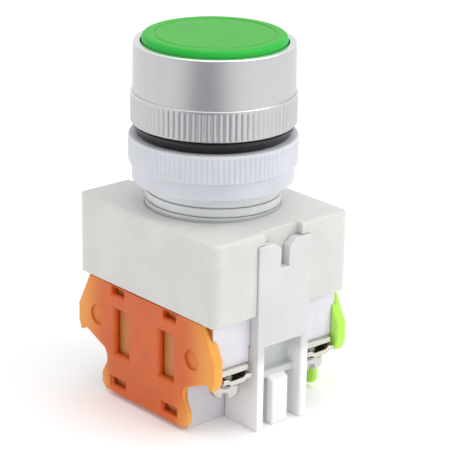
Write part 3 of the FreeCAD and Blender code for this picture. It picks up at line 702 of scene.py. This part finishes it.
def cap_green():
    """Satin green plastic, with a painted highlight of brighter green on the rounded rim."""
    material, tree, surface = shader("cap_green")
    tint = colours()
    where = object_place(tree)
    reach = from_axis(tree, where)[2]
    outer = radius("button_cap")
    # Painted highlight: the rounded rim is painted a brighter green.
    rim = ramp(tree, reach, outer - 1.3 * MM, outer - 0.2 * MM)
    face = mottled(tree, where, 240.0, tint.cap, 0.97, 1.04)
    relief = calc(tree, "ADD", noise(tree, where, 3800.0), noise(tree, where, 500.0, 1.0))
    bumped(tree, surface, relief, 0.008 * MM)
    looks = {
        "Base Color": mixed(tree, rim, face, tint.cap_rim_highlight),
        "Roughness": sheen(tree, where, 0.36, 0.46),
        "Specular IOR Level": 0.36,
        **soaking(0.25, (0.3, 1.0, 0.3), 0.6 * MM),
    }
    fill(tree, surface, looks)
    return material


def turned_metal():
    """Satin aluminium with the fine rings that a lathe leaves, and a painted highlight on faces
    that look upwards.
    """
    material, tree, surface = shader("turned_metal")
    tint = colours()
    where = object_place(tree)
    rings = noise(tree, stretched(tree, where, (60.0, 60.0, 16000.0)), 1.0, 2.0)
    blotches = noise(tree, stretched(tree, where, (260.0, 260.0, 90.0)), 1.0)
    satin = mixed(tree, blotches, shaded(tint.metal, 0.95), shaded(tint.metal, 1.04))
    normal = place(tree, "ShaderNodeNewGeometry").outputs["Normal"]
    # Painted highlight: faces that look upwards are painted towards the bright highlight colour.
    edges = ramp(tree, split(tree, normal)[2], 0.12, 0.45)
    grain = ramp(tree, rings, 0.2, 0.8, 0.24, 0.33)
    looks = {
        "Base Color": mixed(tree, edges, satin, tint.bright_metal),
        "Metallic": 1.0,
        "Roughness": calc(tree, "ADD", grain, calc(tree, "MULTIPLY", blotches, 0.06)),
    }
    fill(tree, surface, looks)
    bumped(tree, surface, rings, 0.012 * MM)
    return material


def plated(name, base, roughness):
    """Bright plating with faint scratches and a little unevenness."""
    material, tree, surface = shader(name)
    where = object_place(tree)
    scratches = noise(tree, stretched(tree, where, (900.0, 9000.0, 900.0)), 1.0, 2.0)
    clouds = noise(tree, where, 700.0)
    looks = {
        "Base Color": mixed(tree, clouds, shaded(base, 0.9), shaded(base, 1.05)),
        "Metallic": 1.0,
        "Roughness": ramp(tree, clouds, 0.25, 0.75, roughness - 0.05, roughness + 0.08),
    }
    fill(tree, surface, looks)
    relief = calc(tree, "ADD", scratches, calc(tree, "MULTIPLY", clouds, 2.0))
    bumped(tree, surface, relief, 0.0016 * MM)
    return material


def gasket_rubber():
    """Black rubber, nearly matt, with a dusty bloom."""
    material, tree, surface = shader("gasket_rubber")
    base = colours().rubber
    where = object_place(tree)
    bloom = ramp(tree, noise(tree, where, 700.0, 4.0), 0.45, 0.8)
    looks = {
        "Base Color": mixed(tree, bloom, base, shaded(base, 2.2)),
        "Roughness": ramp(tree, bloom, 0.0, 1.0, 0.34, 0.55),
        "Specular IOR Level": 0.45,
    }
    fill(tree, surface, looks)
    bumped(tree, surface, noise(tree, where, 4200.0), 0.01 * MM)
    return material


def cover_plastic(name, face, edge, recess_shade):
    """Slightly clear coloured plastic, with painted light where it is thinner and on its outer
    walls, and painted shade on the walls inside its windows.
    """
    material, tree, surface = shader(name)
    where = object_place(tree)
    parts = split(tree, where)
    across = calc(tree, "ABSOLUTE", parts[1])
    # Painted light: the flanges and the foot, where the plastic is thinner, are painted lighter for
    # the light that shines through.
    flanges = ramp(tree, across, 9.5 * MM, 17.0 * MM)
    low_part = ramp(tree, parts[2], 1.0 * MM, 8.5 * MM, 1.0, 0.0)
    foot = calc(tree, "MULTIPLY", ramp(tree, across, 7.0 * MM, 11.0 * MM), low_part)
    painted_light_share = calc(tree, "MINIMUM", calc(tree, "ADD", flanges, foot), 1.0)
    normal = place(tree, "ShaderNodeNewGeometry").outputs["True Normal"]
    facing = calc(tree, "ABSOLUTE", split(tree, normal)[0])
    wall = ramp(tree, facing, 0.25, 0.75, 1.0, 0.0)
    dimple_height = top("nc_side_cover") - 6.4 * MM
    beside = calc(tree, "ABSOLUTE", calc(tree, "SUBTRACT", parts[2], dimple_height))
    dimple = ramp(tree, beside, 1.9 * MM, 2.1 * MM, 1.0, 0.0)
    near_axis = ramp(tree, across, 13.9 * MM, 14.1 * MM, 1.0, 0.0)
    dimple = calc(tree, "MULTIPLY", dimple, near_axis)
    # Painted shade: the walls inside the windows and the round dimples are painted a deeper colour.
    windows = ramp(tree, across, 8.3 * MM, 9.3 * MM, 1.0, 0.0)
    inside = calc(tree, "MULTIPLY", wall, calc(tree, "MAXIMUM", windows, dimple))
    # Painted light: the outer walls beyond the windows, such as the end flanges' faces, are painted
    # lighter.
    rim = calc(tree, "MULTIPLY", wall, ramp(tree, across, 8.3 * MM, 9.3 * MM))
    paint = mottled(tree, where, 300.0, face, 0.96, 1.05)
    paint = mixed(tree, calc(tree, "MULTIPLY", painted_light_share, 0.75), paint, edge)
    paint = mixed(tree, calc(tree, "MULTIPLY", rim, 0.7), paint, edge)
    waves = calc(tree, "MULTIPLY", noise(tree, where, 380.0, 1.0), 2.0)
    relief = calc(tree, "ADD", noise(tree, where, 3600.0, 2.0), waves)
    bumped(tree, surface, relief, 0.006 * MM)
    looks = {
        "Base Color": mixed(tree, inside, paint, recess_shade),
        "Roughness": sheen(tree, where, 0.30, 0.42),
        "Specular IOR Level": 0.38,
        **soaking(0.35, (1.0, 0.45, 0.15), 0.9 * MM),
    }
    fill(tree, surface, looks)
    return material


# ---- the head ---------------------------------------------------------------------------


def make_cap():
    """Green cap: a shallow cup with a fine ring groove and a rounded edge."""
    size = sizes()
    outer = radius("button_cap")
    low, high = bottom("button_cap"), top("button_cap")
    wall, roof = 1.2 * MM, 1.6 * MM
    ring = outer - 1.98 * MM
    groove = size.cap_groove
    corners = [
        (0.0, high - 0.04 * MM, 0),
        (ring - 0.3 * MM, high - 0.04 * MM, 0.15 * MM),
        (ring - 0.1 * MM, high - groove, 0.08 * MM),
        (ring + 0.1 * MM, high - groove, 0.08 * MM),
        (ring + 0.3 * MM, high, 0.15 * MM),
        (outer, high, size.cap_rounding),
        (outer, low, 0.15 * MM),
        (outer - wall, low, 0.1 * MM),
        (outer - wall, high - roof, 0),
        (0.0, high - roof, 0),
    ]
    piece = turned("green_cap", rounded(corners, 8), 160)
    smooth(piece)
    finish(piece, "button", "green_cap", cap_green(), "button_cap")


def make_bezel():
    """Aluminium bezel: plain rim with a lip, and a ribbed skirt."""
    size = sizes()
    skirt = radius("bezel_ring")
    low, high = bottom("bezel_ring"), top("bezel_ring")
    seat = top("threaded_barrel") + 0.05 * MM
    step = high - RIM_HEIGHT
    thread = radius_of_neck() + 0.05 * MM
    mouth = radius("button_cap") + 0.19 * MM
    rib_low = low + 0.28 * MM
    rib_high = step - 0.42 * MM
    corners = [
        (thread, low, 0),
        (skirt - 0.22 * MM, low, 0),
        (skirt, low + 0.22 * MM, 0.06 * MM),
        (skirt, rib_low, 0),
        (skirt, rib_low + 0.12 * MM, 0),
        (skirt, rib_high - 0.16 * MM, 0),
        (skirt, rib_high, 0),
        (skirt, step, 0.34 * MM),
        (skirt - 0.30 * MM, step, 0),
        (skirt - 0.30 * MM, step + 0.12 * MM, 0.1 * MM),
        (skirt - 0.40 * MM, high, 0.34 * MM),
        (mouth, high, 0.16 * MM),
        (mouth, seat, 0),
        (thread, seat, 0),
    ]
    metal = turned_metal()
    levels = {"low": rib_low, "high": rib_high, "fade": 0.12 * MM, "wall": skirt - 0.1 * MM}
    piece = ribbed("bezel", corners, size.skirt_ribs, metal, depth=size.skirt_rib_depth, **levels)
    finish(piece, "housing", "satin_aluminium", metal, "bezel_ring")


def radius_of_neck():
    """Radius over the crests of the neck's thread, which the flange hides in the node's box."""
    lock_hole = [v.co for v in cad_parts["lock_nut"].data.vertices]
    return min(math.hypot(co.x, co.y) for co in lock_hole) - 0.05 * MM


def make_gasket():
    """Rubber gasket with softened edges."""
    outer = radius("sealing_gasket")
    bore = radius_of_neck() + 0.1 * MM
    low, high = bottom("sealing_gasket"), top("sealing_gasket")
    corners = [
        (bore, low, 0.1 * MM),
        (outer - 0.75 * MM, low, 0.3 * MM),
        (outer, high - 0.55 * MM, 0.25 * MM),
        (outer, high - 0.22 * MM, 0.1 * MM),
        (outer - 0.28 * MM, high - 0.18 * MM, 0.1 * MM),
        (outer - 0.32 * MM, high, 0),
        (bore, high, 0.1 * MM),
    ]
    piece = turned("gasket", rounded(corners), TURNING_STEPS)
    smooth(piece)
    finish(piece, "gasket", "black_rubber", gasket_rubber(), "sealing_gasket")


def make_nut():
    """Lock nut: fine upright ribs above a plain band, round a plain bore."""
    size = sizes()
    outer = radius("lock_nut")
    low, high = bottom("lock_nut"), top("lock_nut")
    bore = radius_of_neck() + 0.05 * MM
    band = outer - 0.55 * MM
    band_top = low + 2.7 * MM
    rib_low = band_top + 0.3 * MM
    rib_high = high - 0.45 * MM
    corners = [
        (bore, low, 0.2 * MM),
        (band, low, 0.3 * MM),
        (band, band_top, 0.1 * MM),
        (outer, rib_low, 0.12 * MM),
        (outer, rib_low + 0.25 * MM, 0),
        (outer, rib_high - 0.2 * MM, 0),
        (outer, rib_high, 0),
        (outer - 0.08 * MM, high, 0.28 * MM),
        (bore, high, 0.2 * MM),
    ]
    white = moulded("nylon_white", colours().nylon, 0.40, 0.9 * MM, 0.005)
    levels = {"low": rib_low, "high": rib_high, "fade": 0.2 * MM, "wall": outer - 0.3 * MM}
    piece = ribbed("ribbed_nut", corners, size.nut_ribs, white, depth=size.nut_rib_depth, **levels)
    finish(piece, "nut", "cool_white_nylon", white, "lock_nut")


def make_neck():
    """Threaded barrel with its flange, bore and shelf."""
    size = sizes()
    crest = radius_of_neck()
    root = crest - size.thread_depth
    flange = radius("threaded_barrel")
    low, high = bottom("threaded_barrel"), top("threaded_barrel")
    box_top = top("housing_box")
    flange_top = low + 1.5 * MM
    shelf_top = low + 2.0 * MM
    bore = crest - 2.2 * MM
    stem_hole = 4.26 * MM
    corners = [
        (flange, low, 0.15 * MM),
        (flange, flange_top, 0.1 * MM),
        (crest, flange_top, 0),
        (crest, box_top + 0.3 * MM, 0.15 * MM),
        (root, box_top + 0.6 * MM, 0.2 * MM),
        (root, high, 0.3 * MM),
        (bore, high, 0.2 * MM),
        (bore, shelf_top, 0.2 * MM),
        (stem_hole, shelf_top, 0.1 * MM),
        (stem_hole, low, 0.1 * MM),
    ]
    piece = turned("threaded_neck", rounded(corners), TURNING_STEPS)
    white = moulded("neck_white", colours().neck, 0.40, 0.9 * MM, 0.005)
    grown(
        piece,
        thread_tree(),
        radius=crest - size.thread_depth / 2 - 0.02 * MM,
        pitch=size.thread_pitch,
        depth=size.thread_depth,
        low=box_top - 0.45 * MM,
        high=high - size.thread_pitch * 0.6,
        material=white,
    )
    smooth(piece)
    finish(piece, "housing", "cool_white_nylon", white, "threaded_barrel")


def make_stem():
    """Plunger stem with its cap seat, guide collar, clip groove and spigot, and what it carries."""
    slot = "cool_white_nylon"
    white = moulded("stem_white", colours().nylon, 0.40)
    softened("plunger_stem", "stem", "button", slot, white, even(0.15 * MM), 2)
    steel = plated("clip_steel", colours().steel, 0.26)
    softened("stem_retaining_clip", "snap_ring", "button", "spring_wire", steel, even(0.12 * MM), 2)
    white = moulded("bar_white", colours().nylon, 0.42)
    softened("contact_pusher", "pusher_bar", "button", slot, white, even(0.3 * MM))


# ---- the housing and the carrier --------------------------------------------------------


def make_shell():
    """Housing: a square box with soft corners, a round hole and a latch seat in each end."""
    size = sizes()
    low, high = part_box("housing_box")

    def wanted(edge):
        """Large rounding on the outside of the box, small on its openings."""
        first, second = edge.verts[0].co, edge.verts[1].co
        centre = (first + second) / 2
        upright = abs(first.z - second.z) > abs(first.x - second.x) + abs(first.y - second.y)
        on_side = min(high.x - centre.x, centre.x - low.x) < TOUCH
        on_end = min(high.y - centre.y, centre.y - low.y) < TOUCH
        if upright and on_side and on_end:
            return size.shell_corner
        if (on_side or on_end) and high.z - centre.z < TOUCH:
            return size.shell_top
        if (on_side or on_end) and centre.z - low.z < TOUCH:
            return size.shell_foot
        return size.small_edge * 0.4

    white = moulded("shell_white", colours().shell, 0.42, 1.0 * MM, 0.006)
    softened("housing_box", "box_shell", "housing", "warm_white_shell", white, wanted, 5)


def make_carrier():
    """Contact carrier: web, channels, legs and the split latch prongs."""
    shell_foot = bottom("housing_box")
    usual, fine = even(sizes().small_edge * 1.3), even(0.12 * MM)

    def wanted(edge):
        """Fine rounding on the prongs and on what reaches into the housing."""
        return (fine if reaches(edge, shell_foot) else usual)(edge)

    white = moulded("carrier_white", colours().carrier, 0.42, 0.9 * MM, 0.006)
    tree = white.node_tree
    paint = tree.nodes["Principled BSDF"].inputs["Base Color"]
    # Painted light and shade: low down, the legs and the front are painted lighter and the channel
    # between them darker.
    parts = split(tree, object_place(tree))
    low_part = ramp(tree, parts[2], shell_foot - 6.0 * MM, shell_foot - 9.0 * MM)
    sides = ramp(tree, calc(tree, "ABSOLUTE", parts[0]), 3.6 * MM, 3.9 * MM)
    front = ramp(tree, calc(tree, "ABSOLUTE", parts[1]), 15.7 * MM, 16.2 * MM)
    painted_light_share = calc(tree, "MULTIPLY", low_part, calc(tree, "MAXIMUM", sides, front))
    back = calc(tree, "MULTIPLY", low_part, calc(tree, "SUBTRACT", 1.0, painted_light_share))
    shade = mixed(tree, back, paint.links[0].from_socket, colours().channel)
    tree.links.new(mixed(tree, painted_light_share, shade, colours().legs), paint)
    softened("contact_carrier", "carrier", "housing", "carrier_white", white, wanted)


def block_plastic():
    """Cool white plastic, with painted shade and painted coloured light where it lies under the
    side covers.
    """
    tint = colours()
    white = moulded("block_white", tint.block, 0.40, 0.9 * MM, 0.006)
    tree = white.node_tree
    paint = tree.nodes["Principled BSDF"].inputs["Base Color"]
    plain = paint.links[0].from_socket
    across = split(tree, object_place(tree))[0]
    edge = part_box("no_contact_body")[1].x
    # Painted shade and coloured light: painted orange-brown under the orange cover and green under
    # the lime one.
    under = ramp(tree, calc(tree, "ABSOLUTE", across), edge - 0.12 * MM, edge - 0.02 * MM)
    lime_side = calc(tree, "GREATER_THAN", across, 0.0)
    cover_light_and_shade = mixed(tree, lime_side, tint.orange_shade, tint.lime_shade)
    tree.links.new(mixed(tree, under, plain, cover_light_and_shade), paint)
    return white


def make_blocks():
    """The two contact block housings."""
    white = block_plastic()
    wanted = even(sizes().small_edge)
    for kind in KINDS:
        softened(f"{kind}_contact_body", f"{kind}_block", "housing", "block_white", white, wanted)


def make_covers():
    """The orange and the lime side cover."""
    tint = colours()
    # Each cover's face colour, its painted light colour and its painted shade colour.
    finishes = {
        "nc": ("orange_cover", tint.orange, tint.orange_edge, tint.orange_recess_shade),
        "no": ("lime_cover", tint.lime, tint.lime_edge, tint.lime_recess_shade),
    }
    for kind, (slot, face, edge, recess_shade) in finishes.items():
        node = f"{kind}_side_cover"
        wanted = below(top(node) - 0.2 * MM, flatter(sizes().cover_edge))
        plastic = cover_plastic(f"{slot}_plastic", face, edge, recess_shade)
        softened(node, f"{kind}_cover", "housing", slot, plastic, wanted)


# ---- terminals --------------------------------------------------------------------------


def make_terminals():
    """Terminal plates and saddle clamps of pressed, plated sheet."""
    nickel = plated("nickel_plate", colours().nickel, 0.17)
    wanted = even(sizes().sheet_edge)
    for end in TERMINALS:
        softened(f"{end}_terminal", f"{end}_plate", "housing", "plated_steel", nickel, wanted, 2)
        body = f"{end}_wire_clamp"
        softened(f"{end}_clamp", f"{end}_saddle", body, "plated_steel", nickel, wanted, 2)


def screw_blank(name, head_radius, head_height, shank_radius, shank_top):
    """A turned pan head screw without slot and thread, head down from the origin."""
    corners = [
        (0.0, 0.0, 0),
        (head_radius, 0.0, head_radius * 0.62),
        (head_radius, head_height - 0.1 * MM, 0.5 * MM),
        (shank_radius, head_height, 0.05 * MM),
        (shank_radius, shank_top, 0.25 * MM),
        (0.0, shank_top, 0),
    ]
    return turned(name, rounded(corners, 8), 48)


def make_screws():
    """Slotted pan head screws in the clamps."""
    size = sizes()
    tree = screw_tree()
    zinc = plated("zinc_plate", colours().zinc, 0.16)
    head_height, shank = 2.6 * MM, 1.5 * MM
    thread_depth = 0.2 * MM
    drop = 0.35 * MM
    for end, slot_turn in TERMINALS.items():
        low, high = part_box(f"{end}_screw")
        centre = (low + high) / 2
        head_radius = (high.x - low.x) / 2
        reach = high.z - low.z + drop
        core = shank - thread_depth
        blank = screw_blank(f"{end}_clamp_screw", head_radius, head_height, core, reach)
        grown(
            blank,
            tree,
            radius=shank - thread_depth / 2,
            pitch=size.screw_pitch,
            depth=thread_depth,
            low=head_height + 1.2 * MM,
            high=reach - 0.6 * MM,
            slot_width=size.screw_slot_width,
            slot_depth=size.screw_slot_depth,
            slot_turn=math.radians(slot_turn),
            place=Vector((centre.x, centre.y, low.z - drop)),
            material=zinc,
        )
        smooth(blank)
        finish(blank, f"{end}_wire_clamp", "zinc_screw", zinc, f"{end}_screw")


# ---- the works inside -------------------------------------------------------------------


def make_spring(tree, steel, node, body, turns):
    """One compression spring between the levels of its node."""
    low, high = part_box(node)
    wire = SPRING_WIRES[node]
    piece = show(node.replace("_spring", "_coil"), bmesh.new())
    grown(
        piece,
        tree,
        radius=(high.x - low.x) / 2 - wire,
        wire=wire,
        turns=float(turns),
        low=low.z,
        high=high.z,
        wire_sides=sizes().wire_steps,
        place=Vector((middle(node).x, 0.0, 0.0)),
        material=steel,
    )
    smooth(piece)
    finish(piece, body, "spring_wire", steel, node)
    return piece


def make_springs():
    """The return springs and the contact spring."""
    tree = spring_tree()
    steel = plated("spring_steel", colours().steel, 0.24)
    make_spring(tree, steel, "no_contact_spring", "no_contact", 5)
    squashed = (
        ("button_return_spring", "button_press", 6),
        ("nc_return_spring", "nc_contact_slide", 7),
        ("no_return_spring", "no_contact_slide", 7),
    )
    for node, joint, turns in squashed:
        piece = make_spring(tree, steel, node, "housing", turns)
        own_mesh(piece)


def make_contacts():
    """Plungers, moving strips and silver tips."""
    tint = colours()
    brass = plated("contact_brass", tint.brass, 0.28)
    silver = plated("contact_silver", tint.silver, 0.22)
    plastic = moulded("plunger_plastic", tint.plunger, 0.45)
    post_edge, strip_edge, tip_edge = even(0.3 * MM), even(0.18 * MM), even(0.15 * MM)
    for kind in KINDS:
        body = f"{kind}_contact"
        node, name = f"{kind}_plunger", f"{kind}_push_post"
        softened(node, name, body, "plunger_plastic", plastic, post_edge)
        node, name = f"{kind}_bridge", f"{kind}_strip"
        softened(node, name, body, "contact_brass", brass, strip_edge, 2)
        node, name = f"{kind}_bridge_tips", f"{kind}_moving_tips"
        softened(node, name, body, "silver_contact", silver, tip_edge)
        node, name = f"{kind}_fixed_tips", f"{kind}_still_tips"
        softened(node, name, "housing", "silver_contact", silver, tip_edge)


# ---- the stage --------------------------------------------------------------------------

VIEW_AZIMUTH = math.radians(-41.24)
VIEW_HEIGHT = math.radians(19.61)
VIEW_ROLL = math.radians(0.916)
VIEW_DISTANCE = 324.18 * MM
VIEW_RIGHT = 1.979 * MM
VIEW_UP = -3.989 * MM
LENS = 161.36
FILM_WIDTH = 36.0
DARK_TURN = math.radians(-10)
CARD_WIDTH, CARD_LENGTH, CARD_AWAY = 0.15, 0.42, 0.27
CARD_GREY = (0.37, 0.37, 0.39)
AIM_HEIGHT = 35 * MM
LIGHT_DISTANCE = 0.9
SKY = (0.76, 0.76, 0.77)
DARK_SKY = (0.45, 0.45, 0.46)


def make_camera():
    """Camera that looks down at the corner between the orange cover and the front."""
    target = Vector((0.0, 0.0, top("housing_box")))
    back = direction(VIEW_AZIMUTH, VIEW_HEIGHT)
    level_right = (-back).cross(Vector((0, 0, 1))).normalized()
    level_up = level_right.cross(-back)
    right = math.cos(VIEW_ROLL) * level_right + math.sin(VIEW_ROLL) * level_up
    up = math.cos(VIEW_ROLL) * level_up - math.sin(VIEW_ROLL) * level_right
    place_at = target + back * VIEW_DISTANCE + right * VIEW_RIGHT + up * VIEW_UP
    data = bpy.data.cameras.new("studio_camera")
    data.lens = LENS
    data.sensor_width = FILM_WIDTH
    data.clip_start = 10 * MM
    camera = bpy.data.objects.new("studio_camera", data)
    bpy.context.scene.collection.objects.link(camera)
    turn = Matrix((right, up, back)).transposed().to_4x4()
    camera.matrix_world = Matrix.Translation(place_at) @ turn
    bpy.context.scene.camera = camera


def direction(azimuth, height):
    """Unit vector towards an azimuth from the front, and a height above the level."""
    flat = math.cos(height)
    return Vector((math.sin(azimuth) * flat, -math.cos(azimuth) * flat, math.sin(height)))


def soft_box(name, azimuth, height, width, tall, power):
    """A rectangular studio light that faces the object."""
    data = bpy.data.lights.new(name, "AREA")
    data.shape = "RECTANGLE"
    data.size = width
    data.size_y = tall
    data.energy = power
    lamp = bpy.data.objects.new(name, data)
    bpy.context.scene.collection.objects.link(lamp)
    away = direction(math.radians(azimuth), math.radians(height))
    lamp.location = Vector((0.0, 0.0, AIM_HEIGHT)) + away * LIGHT_DISTANCE
    lamp.rotation_euler = away.to_track_quat("Z", "Y").to_euler()


def make_floor():
    """Pale floor just under the feet."""
    shape = bmesh.new()
    bmesh.ops.create_grid(shape, x_segments=8, y_segments=8, size=4.0)
    floor = show("studio_floor", shape)
    floor.data.transform(Matrix.Translation((0.0, 0.0, -0.02 * MM)))
    material, tree, surface = shader("floor_paper")
    grain = noise(tree, object_place(tree), 6.0)
    base = colours().floor
    looks = {
        "Base Color": mixed(tree, grain, shaded(base, 0.995), shaded(base, 1.005)),
        "Roughness": 0.9,
        "Specular IOR Level": 0.1,
        "Emission Color": (1.0, 1.0, 1.0, 1.0),
        "Emission Strength": 0.08,
    }
    fill(tree, surface, looks)
    floor.data.materials.append(material)


def make_dark_card():
    """A grey card on the table that only the metal's reflections show."""
    shape = bmesh.new()
    bmesh.ops.create_grid(shape, x_segments=1, y_segments=1, size=1.0)
    turn = VIEW_AZIMUTH + DARK_TURN
    shift = direction(turn, 0.0) * CARD_AWAY + Vector((0.0, 0.0, MM))
    bmesh.ops.scale(shape, vec=(CARD_WIDTH / 2, CARD_LENGTH / 2, 1.0), verts=shape.verts)
    bmesh.ops.rotate(shape, matrix=Matrix.Rotation(turn, 3, "Z"), verts=shape.verts)
    bmesh.ops.translate(shape, vec=shift, verts=shape.verts)
    card = show("reflection_card", shape)
    for ray in ("camera", "diffuse", "shadow", "transmission"):
        setattr(card, f"visible_{ray}", False)
    material, tree, surface = shader("grey_card")
    fill(tree, surface, {"Base Color": (*CARD_GREY, 1.0), "Roughness": 1.0})
    card.data.materials.append(material)


def make_sky():
    """Even pale light from all round, dimmer low down on one side so that the metal shows form."""
    world = bpy.data.worlds.new("studio_air")
    world.use_nodes = True
    tree = world.node_tree
    away = place(tree, "ShaderNodeTexCoord").outputs["Generated"]
    level = {0: away, 1: (1.0, 1.0, 0.0)}
    flat = place(tree, "ShaderNodeVectorMath", level, operation="MULTIPLY").outputs[0]
    unit = place(tree, "ShaderNodeVectorMath", {0: flat}, operation="NORMALIZE").outputs[0]
    towards = direction(VIEW_AZIMUTH + DARK_TURN, 0.0)
    facing = place(tree, "ShaderNodeVectorMath", {0: unit, 1: towards}, operation="DOT_PRODUCT")
    low_sky = ramp(tree, split(tree, away)[2], 0.35, 0.62, 1.0, 0.0)
    one_side = ramp(tree, facing.outputs["Value"], 0.72, 0.97)
    air = mixed(tree, calc(tree, "MULTIPLY", one_side, low_sky), SKY, DARK_SKY)
    fill(tree, tree.nodes["Background"], {"Color": air, "Strength": 1.0})
    bpy.context.scene.world = world


def make_stage():
    """Floor, sky, lights and camera."""
    bpy.context.scene.view_settings.view_transform = "Standard"
    make_sky()
    make_camera()
    make_floor()
    make_dark_card()
    soft_box("key_light", azimuth=30.0, height=42.0, width=0.7, tall=0.7, power=2.4)
    soft_box("side_light", azimuth=-110.0, height=30.0, width=0.5, tall=0.8, power=0.08)
    soft_box("top_light", azimuth=0.0, height=88.0, width=0.9, tall=0.9, power=2.3)


# ---- operators --------------------------------------------------------------------------


class PUSHBUTTON_OT_stage(bpy.types.Operator):
    """Make the floor, the lights and the camera"""

    bl_idname = "pushbutton.stage"
    bl_label = "Stage"

    def execute(self, context):
        make_stage()
        return {"FINISHED"}


class PUSHBUTTON_OT_cap(bpy.types.Operator):
    """Make the green cap"""

    bl_idname = "pushbutton.cap"
    bl_label = "Cap"

    def execute(self, context):
        make_cap()
        return {"FINISHED"}


class PUSHBUTTON_OT_bezel(bpy.types.Operator):
    """Make the aluminium bezel"""

    bl_idname = "pushbutton.bezel"
    bl_label = "Bezel"

    def execute(self, context):
        make_bezel()
        return {"FINISHED"}


class PUSHBUTTON_OT_gasket(bpy.types.Operator):
    """Make the rubber gasket"""

    bl_idname = "pushbutton.gasket"
    bl_label = "Gasket"

    def execute(self, context):
        make_gasket()
        return {"FINISHED"}


class PUSHBUTTON_OT_nut(bpy.types.Operator):
    """Make the ribbed lock nut"""

    bl_idname = "pushbutton.nut"
    bl_label = "Lock nut"

    def execute(self, context):
        make_nut()
        return {"FINISHED"}


class PUSHBUTTON_OT_neck(bpy.types.Operator):
    """Make the threaded neck"""

    bl_idname = "pushbutton.neck"
    bl_label = "Neck"

    def execute(self, context):
        make_neck()
        return {"FINISHED"}


class PUSHBUTTON_OT_stem(bpy.types.Operator):
    """Make the stem, its snap ring and the pusher bar"""

    bl_idname = "pushbutton.stem"
    bl_label = "Stem"

    def execute(self, context):
        make_stem()
        return {"FINISHED"}


class PUSHBUTTON_OT_shell(bpy.types.Operator):
    """Make the housing's shell"""

    bl_idname = "pushbutton.shell"
    bl_label = "Shell"

    def execute(self, context):
        make_shell()
        return {"FINISHED"}


class PUSHBUTTON_OT_carrier(bpy.types.Operator):
    """Make the contact carrier"""

    bl_idname = "pushbutton.carrier"
    bl_label = "Carrier"

    def execute(self, context):
        make_carrier()
        return {"FINISHED"}


class PUSHBUTTON_OT_blocks(bpy.types.Operator):
    """Make the housings of the contact blocks"""

    bl_idname = "pushbutton.blocks"
    bl_label = "Contact blocks"

    def execute(self, context):
        make_blocks()
        return {"FINISHED"}


class PUSHBUTTON_OT_covers(bpy.types.Operator):
    """Make the coloured side covers"""

    bl_idname = "pushbutton.covers"
    bl_label = "Side covers"

    def execute(self, context):
        make_covers()
        return {"FINISHED"}


class PUSHBUTTON_OT_terminals(bpy.types.Operator):
    """Make the terminal plates and the saddle clamps"""

    bl_idname = "pushbutton.terminals"
    bl_label = "Terminals"

    def execute(self, context):
        make_terminals()
        return {"FINISHED"}


class PUSHBUTTON_OT_screws(bpy.types.Operator):
    """Make the slotted clamp screws"""

    bl_idname = "pushbutton.screws"
    bl_label = "Clamp screws"

    def execute(self, context):
        make_screws()
        return {"FINISHED"}


class PUSHBUTTON_OT_springs(bpy.types.Operator):
    """Make the springs"""

    bl_idname = "pushbutton.springs"
    bl_label = "Springs"

    def execute(self, context):
        make_springs()
        return {"FINISHED"}


class PUSHBUTTON_OT_contacts(bpy.types.Operator):
    """Make the plungers, moving strips and contact tips"""

    bl_idname = "pushbutton.contacts"
    bl_label = "Contacts"

    def execute(self, context):
        make_contacts()
        return {"FINISHED"}


OPERATORS = (
    PUSHBUTTON_OT_stage,
    PUSHBUTTON_OT_cap,
    PUSHBUTTON_OT_bezel,
    PUSHBUTTON_OT_gasket,
    PUSHBUTTON_OT_nut,
    PUSHBUTTON_OT_neck,
    PUSHBUTTON_OT_stem,
    PUSHBUTTON_OT_shell,
    PUSHBUTTON_OT_carrier,
    PUSHBUTTON_OT_blocks,
    PUSHBUTTON_OT_covers,
    PUSHBUTTON_OT_terminals,
    PUSHBUTTON_OT_screws,
    PUSHBUTTON_OT_springs,
    PUSHBUTTON_OT_contacts,
)


class PUSHBUTTON_PT_panel(bpy.types.Panel):
    """Lists the pieces and their sizes and colours"""

    bl_idname = "PUSHBUTTON_PT_panel"
    bl_label = "Push Button"
    bl_space_type = "VIEW_3D"
    bl_region_type = "UI"
    bl_category = "Push Button"

    def draw(self, context):
        layout = self.layout
        for group in (context.scene.push_button_sizes, context.scene.push_button_colours):
            box = layout.box()
            for name in group.__annotations__:
                box.prop(group, name)
        for operator in OPERATORS:
            layout.operator(operator.bl_idname)


CLASSES = (ButtonSizes, ButtonColours, *OPERATORS, PUSHBUTTON_PT_panel)


def register():
    """Registers the classes and the scene's sizes and colours."""
    for item in CLASSES:
        bpy.utils.register_class(item)
    bpy.types.Scene.push_button_sizes = bpy.props.PointerProperty(type=ButtonSizes)
    bpy.types.Scene.push_button_colours = bpy.props.PointerProperty(type=ButtonColours)


def unregister():
    """Takes them away again."""
    del bpy.types.Scene.push_button_colours
    del bpy.types.Scene.push_button_sizes
    for item in reversed(CLASSES):
        bpy.utils.unregister_class(item)


def main():
    """Builds everything."""
    register()
    for operator in OPERATORS:
        group, name = operator.bl_idname.split(".")
        getattr(getattr(bpy.ops, group), name)()


if __name__ == "__main__":
    main()
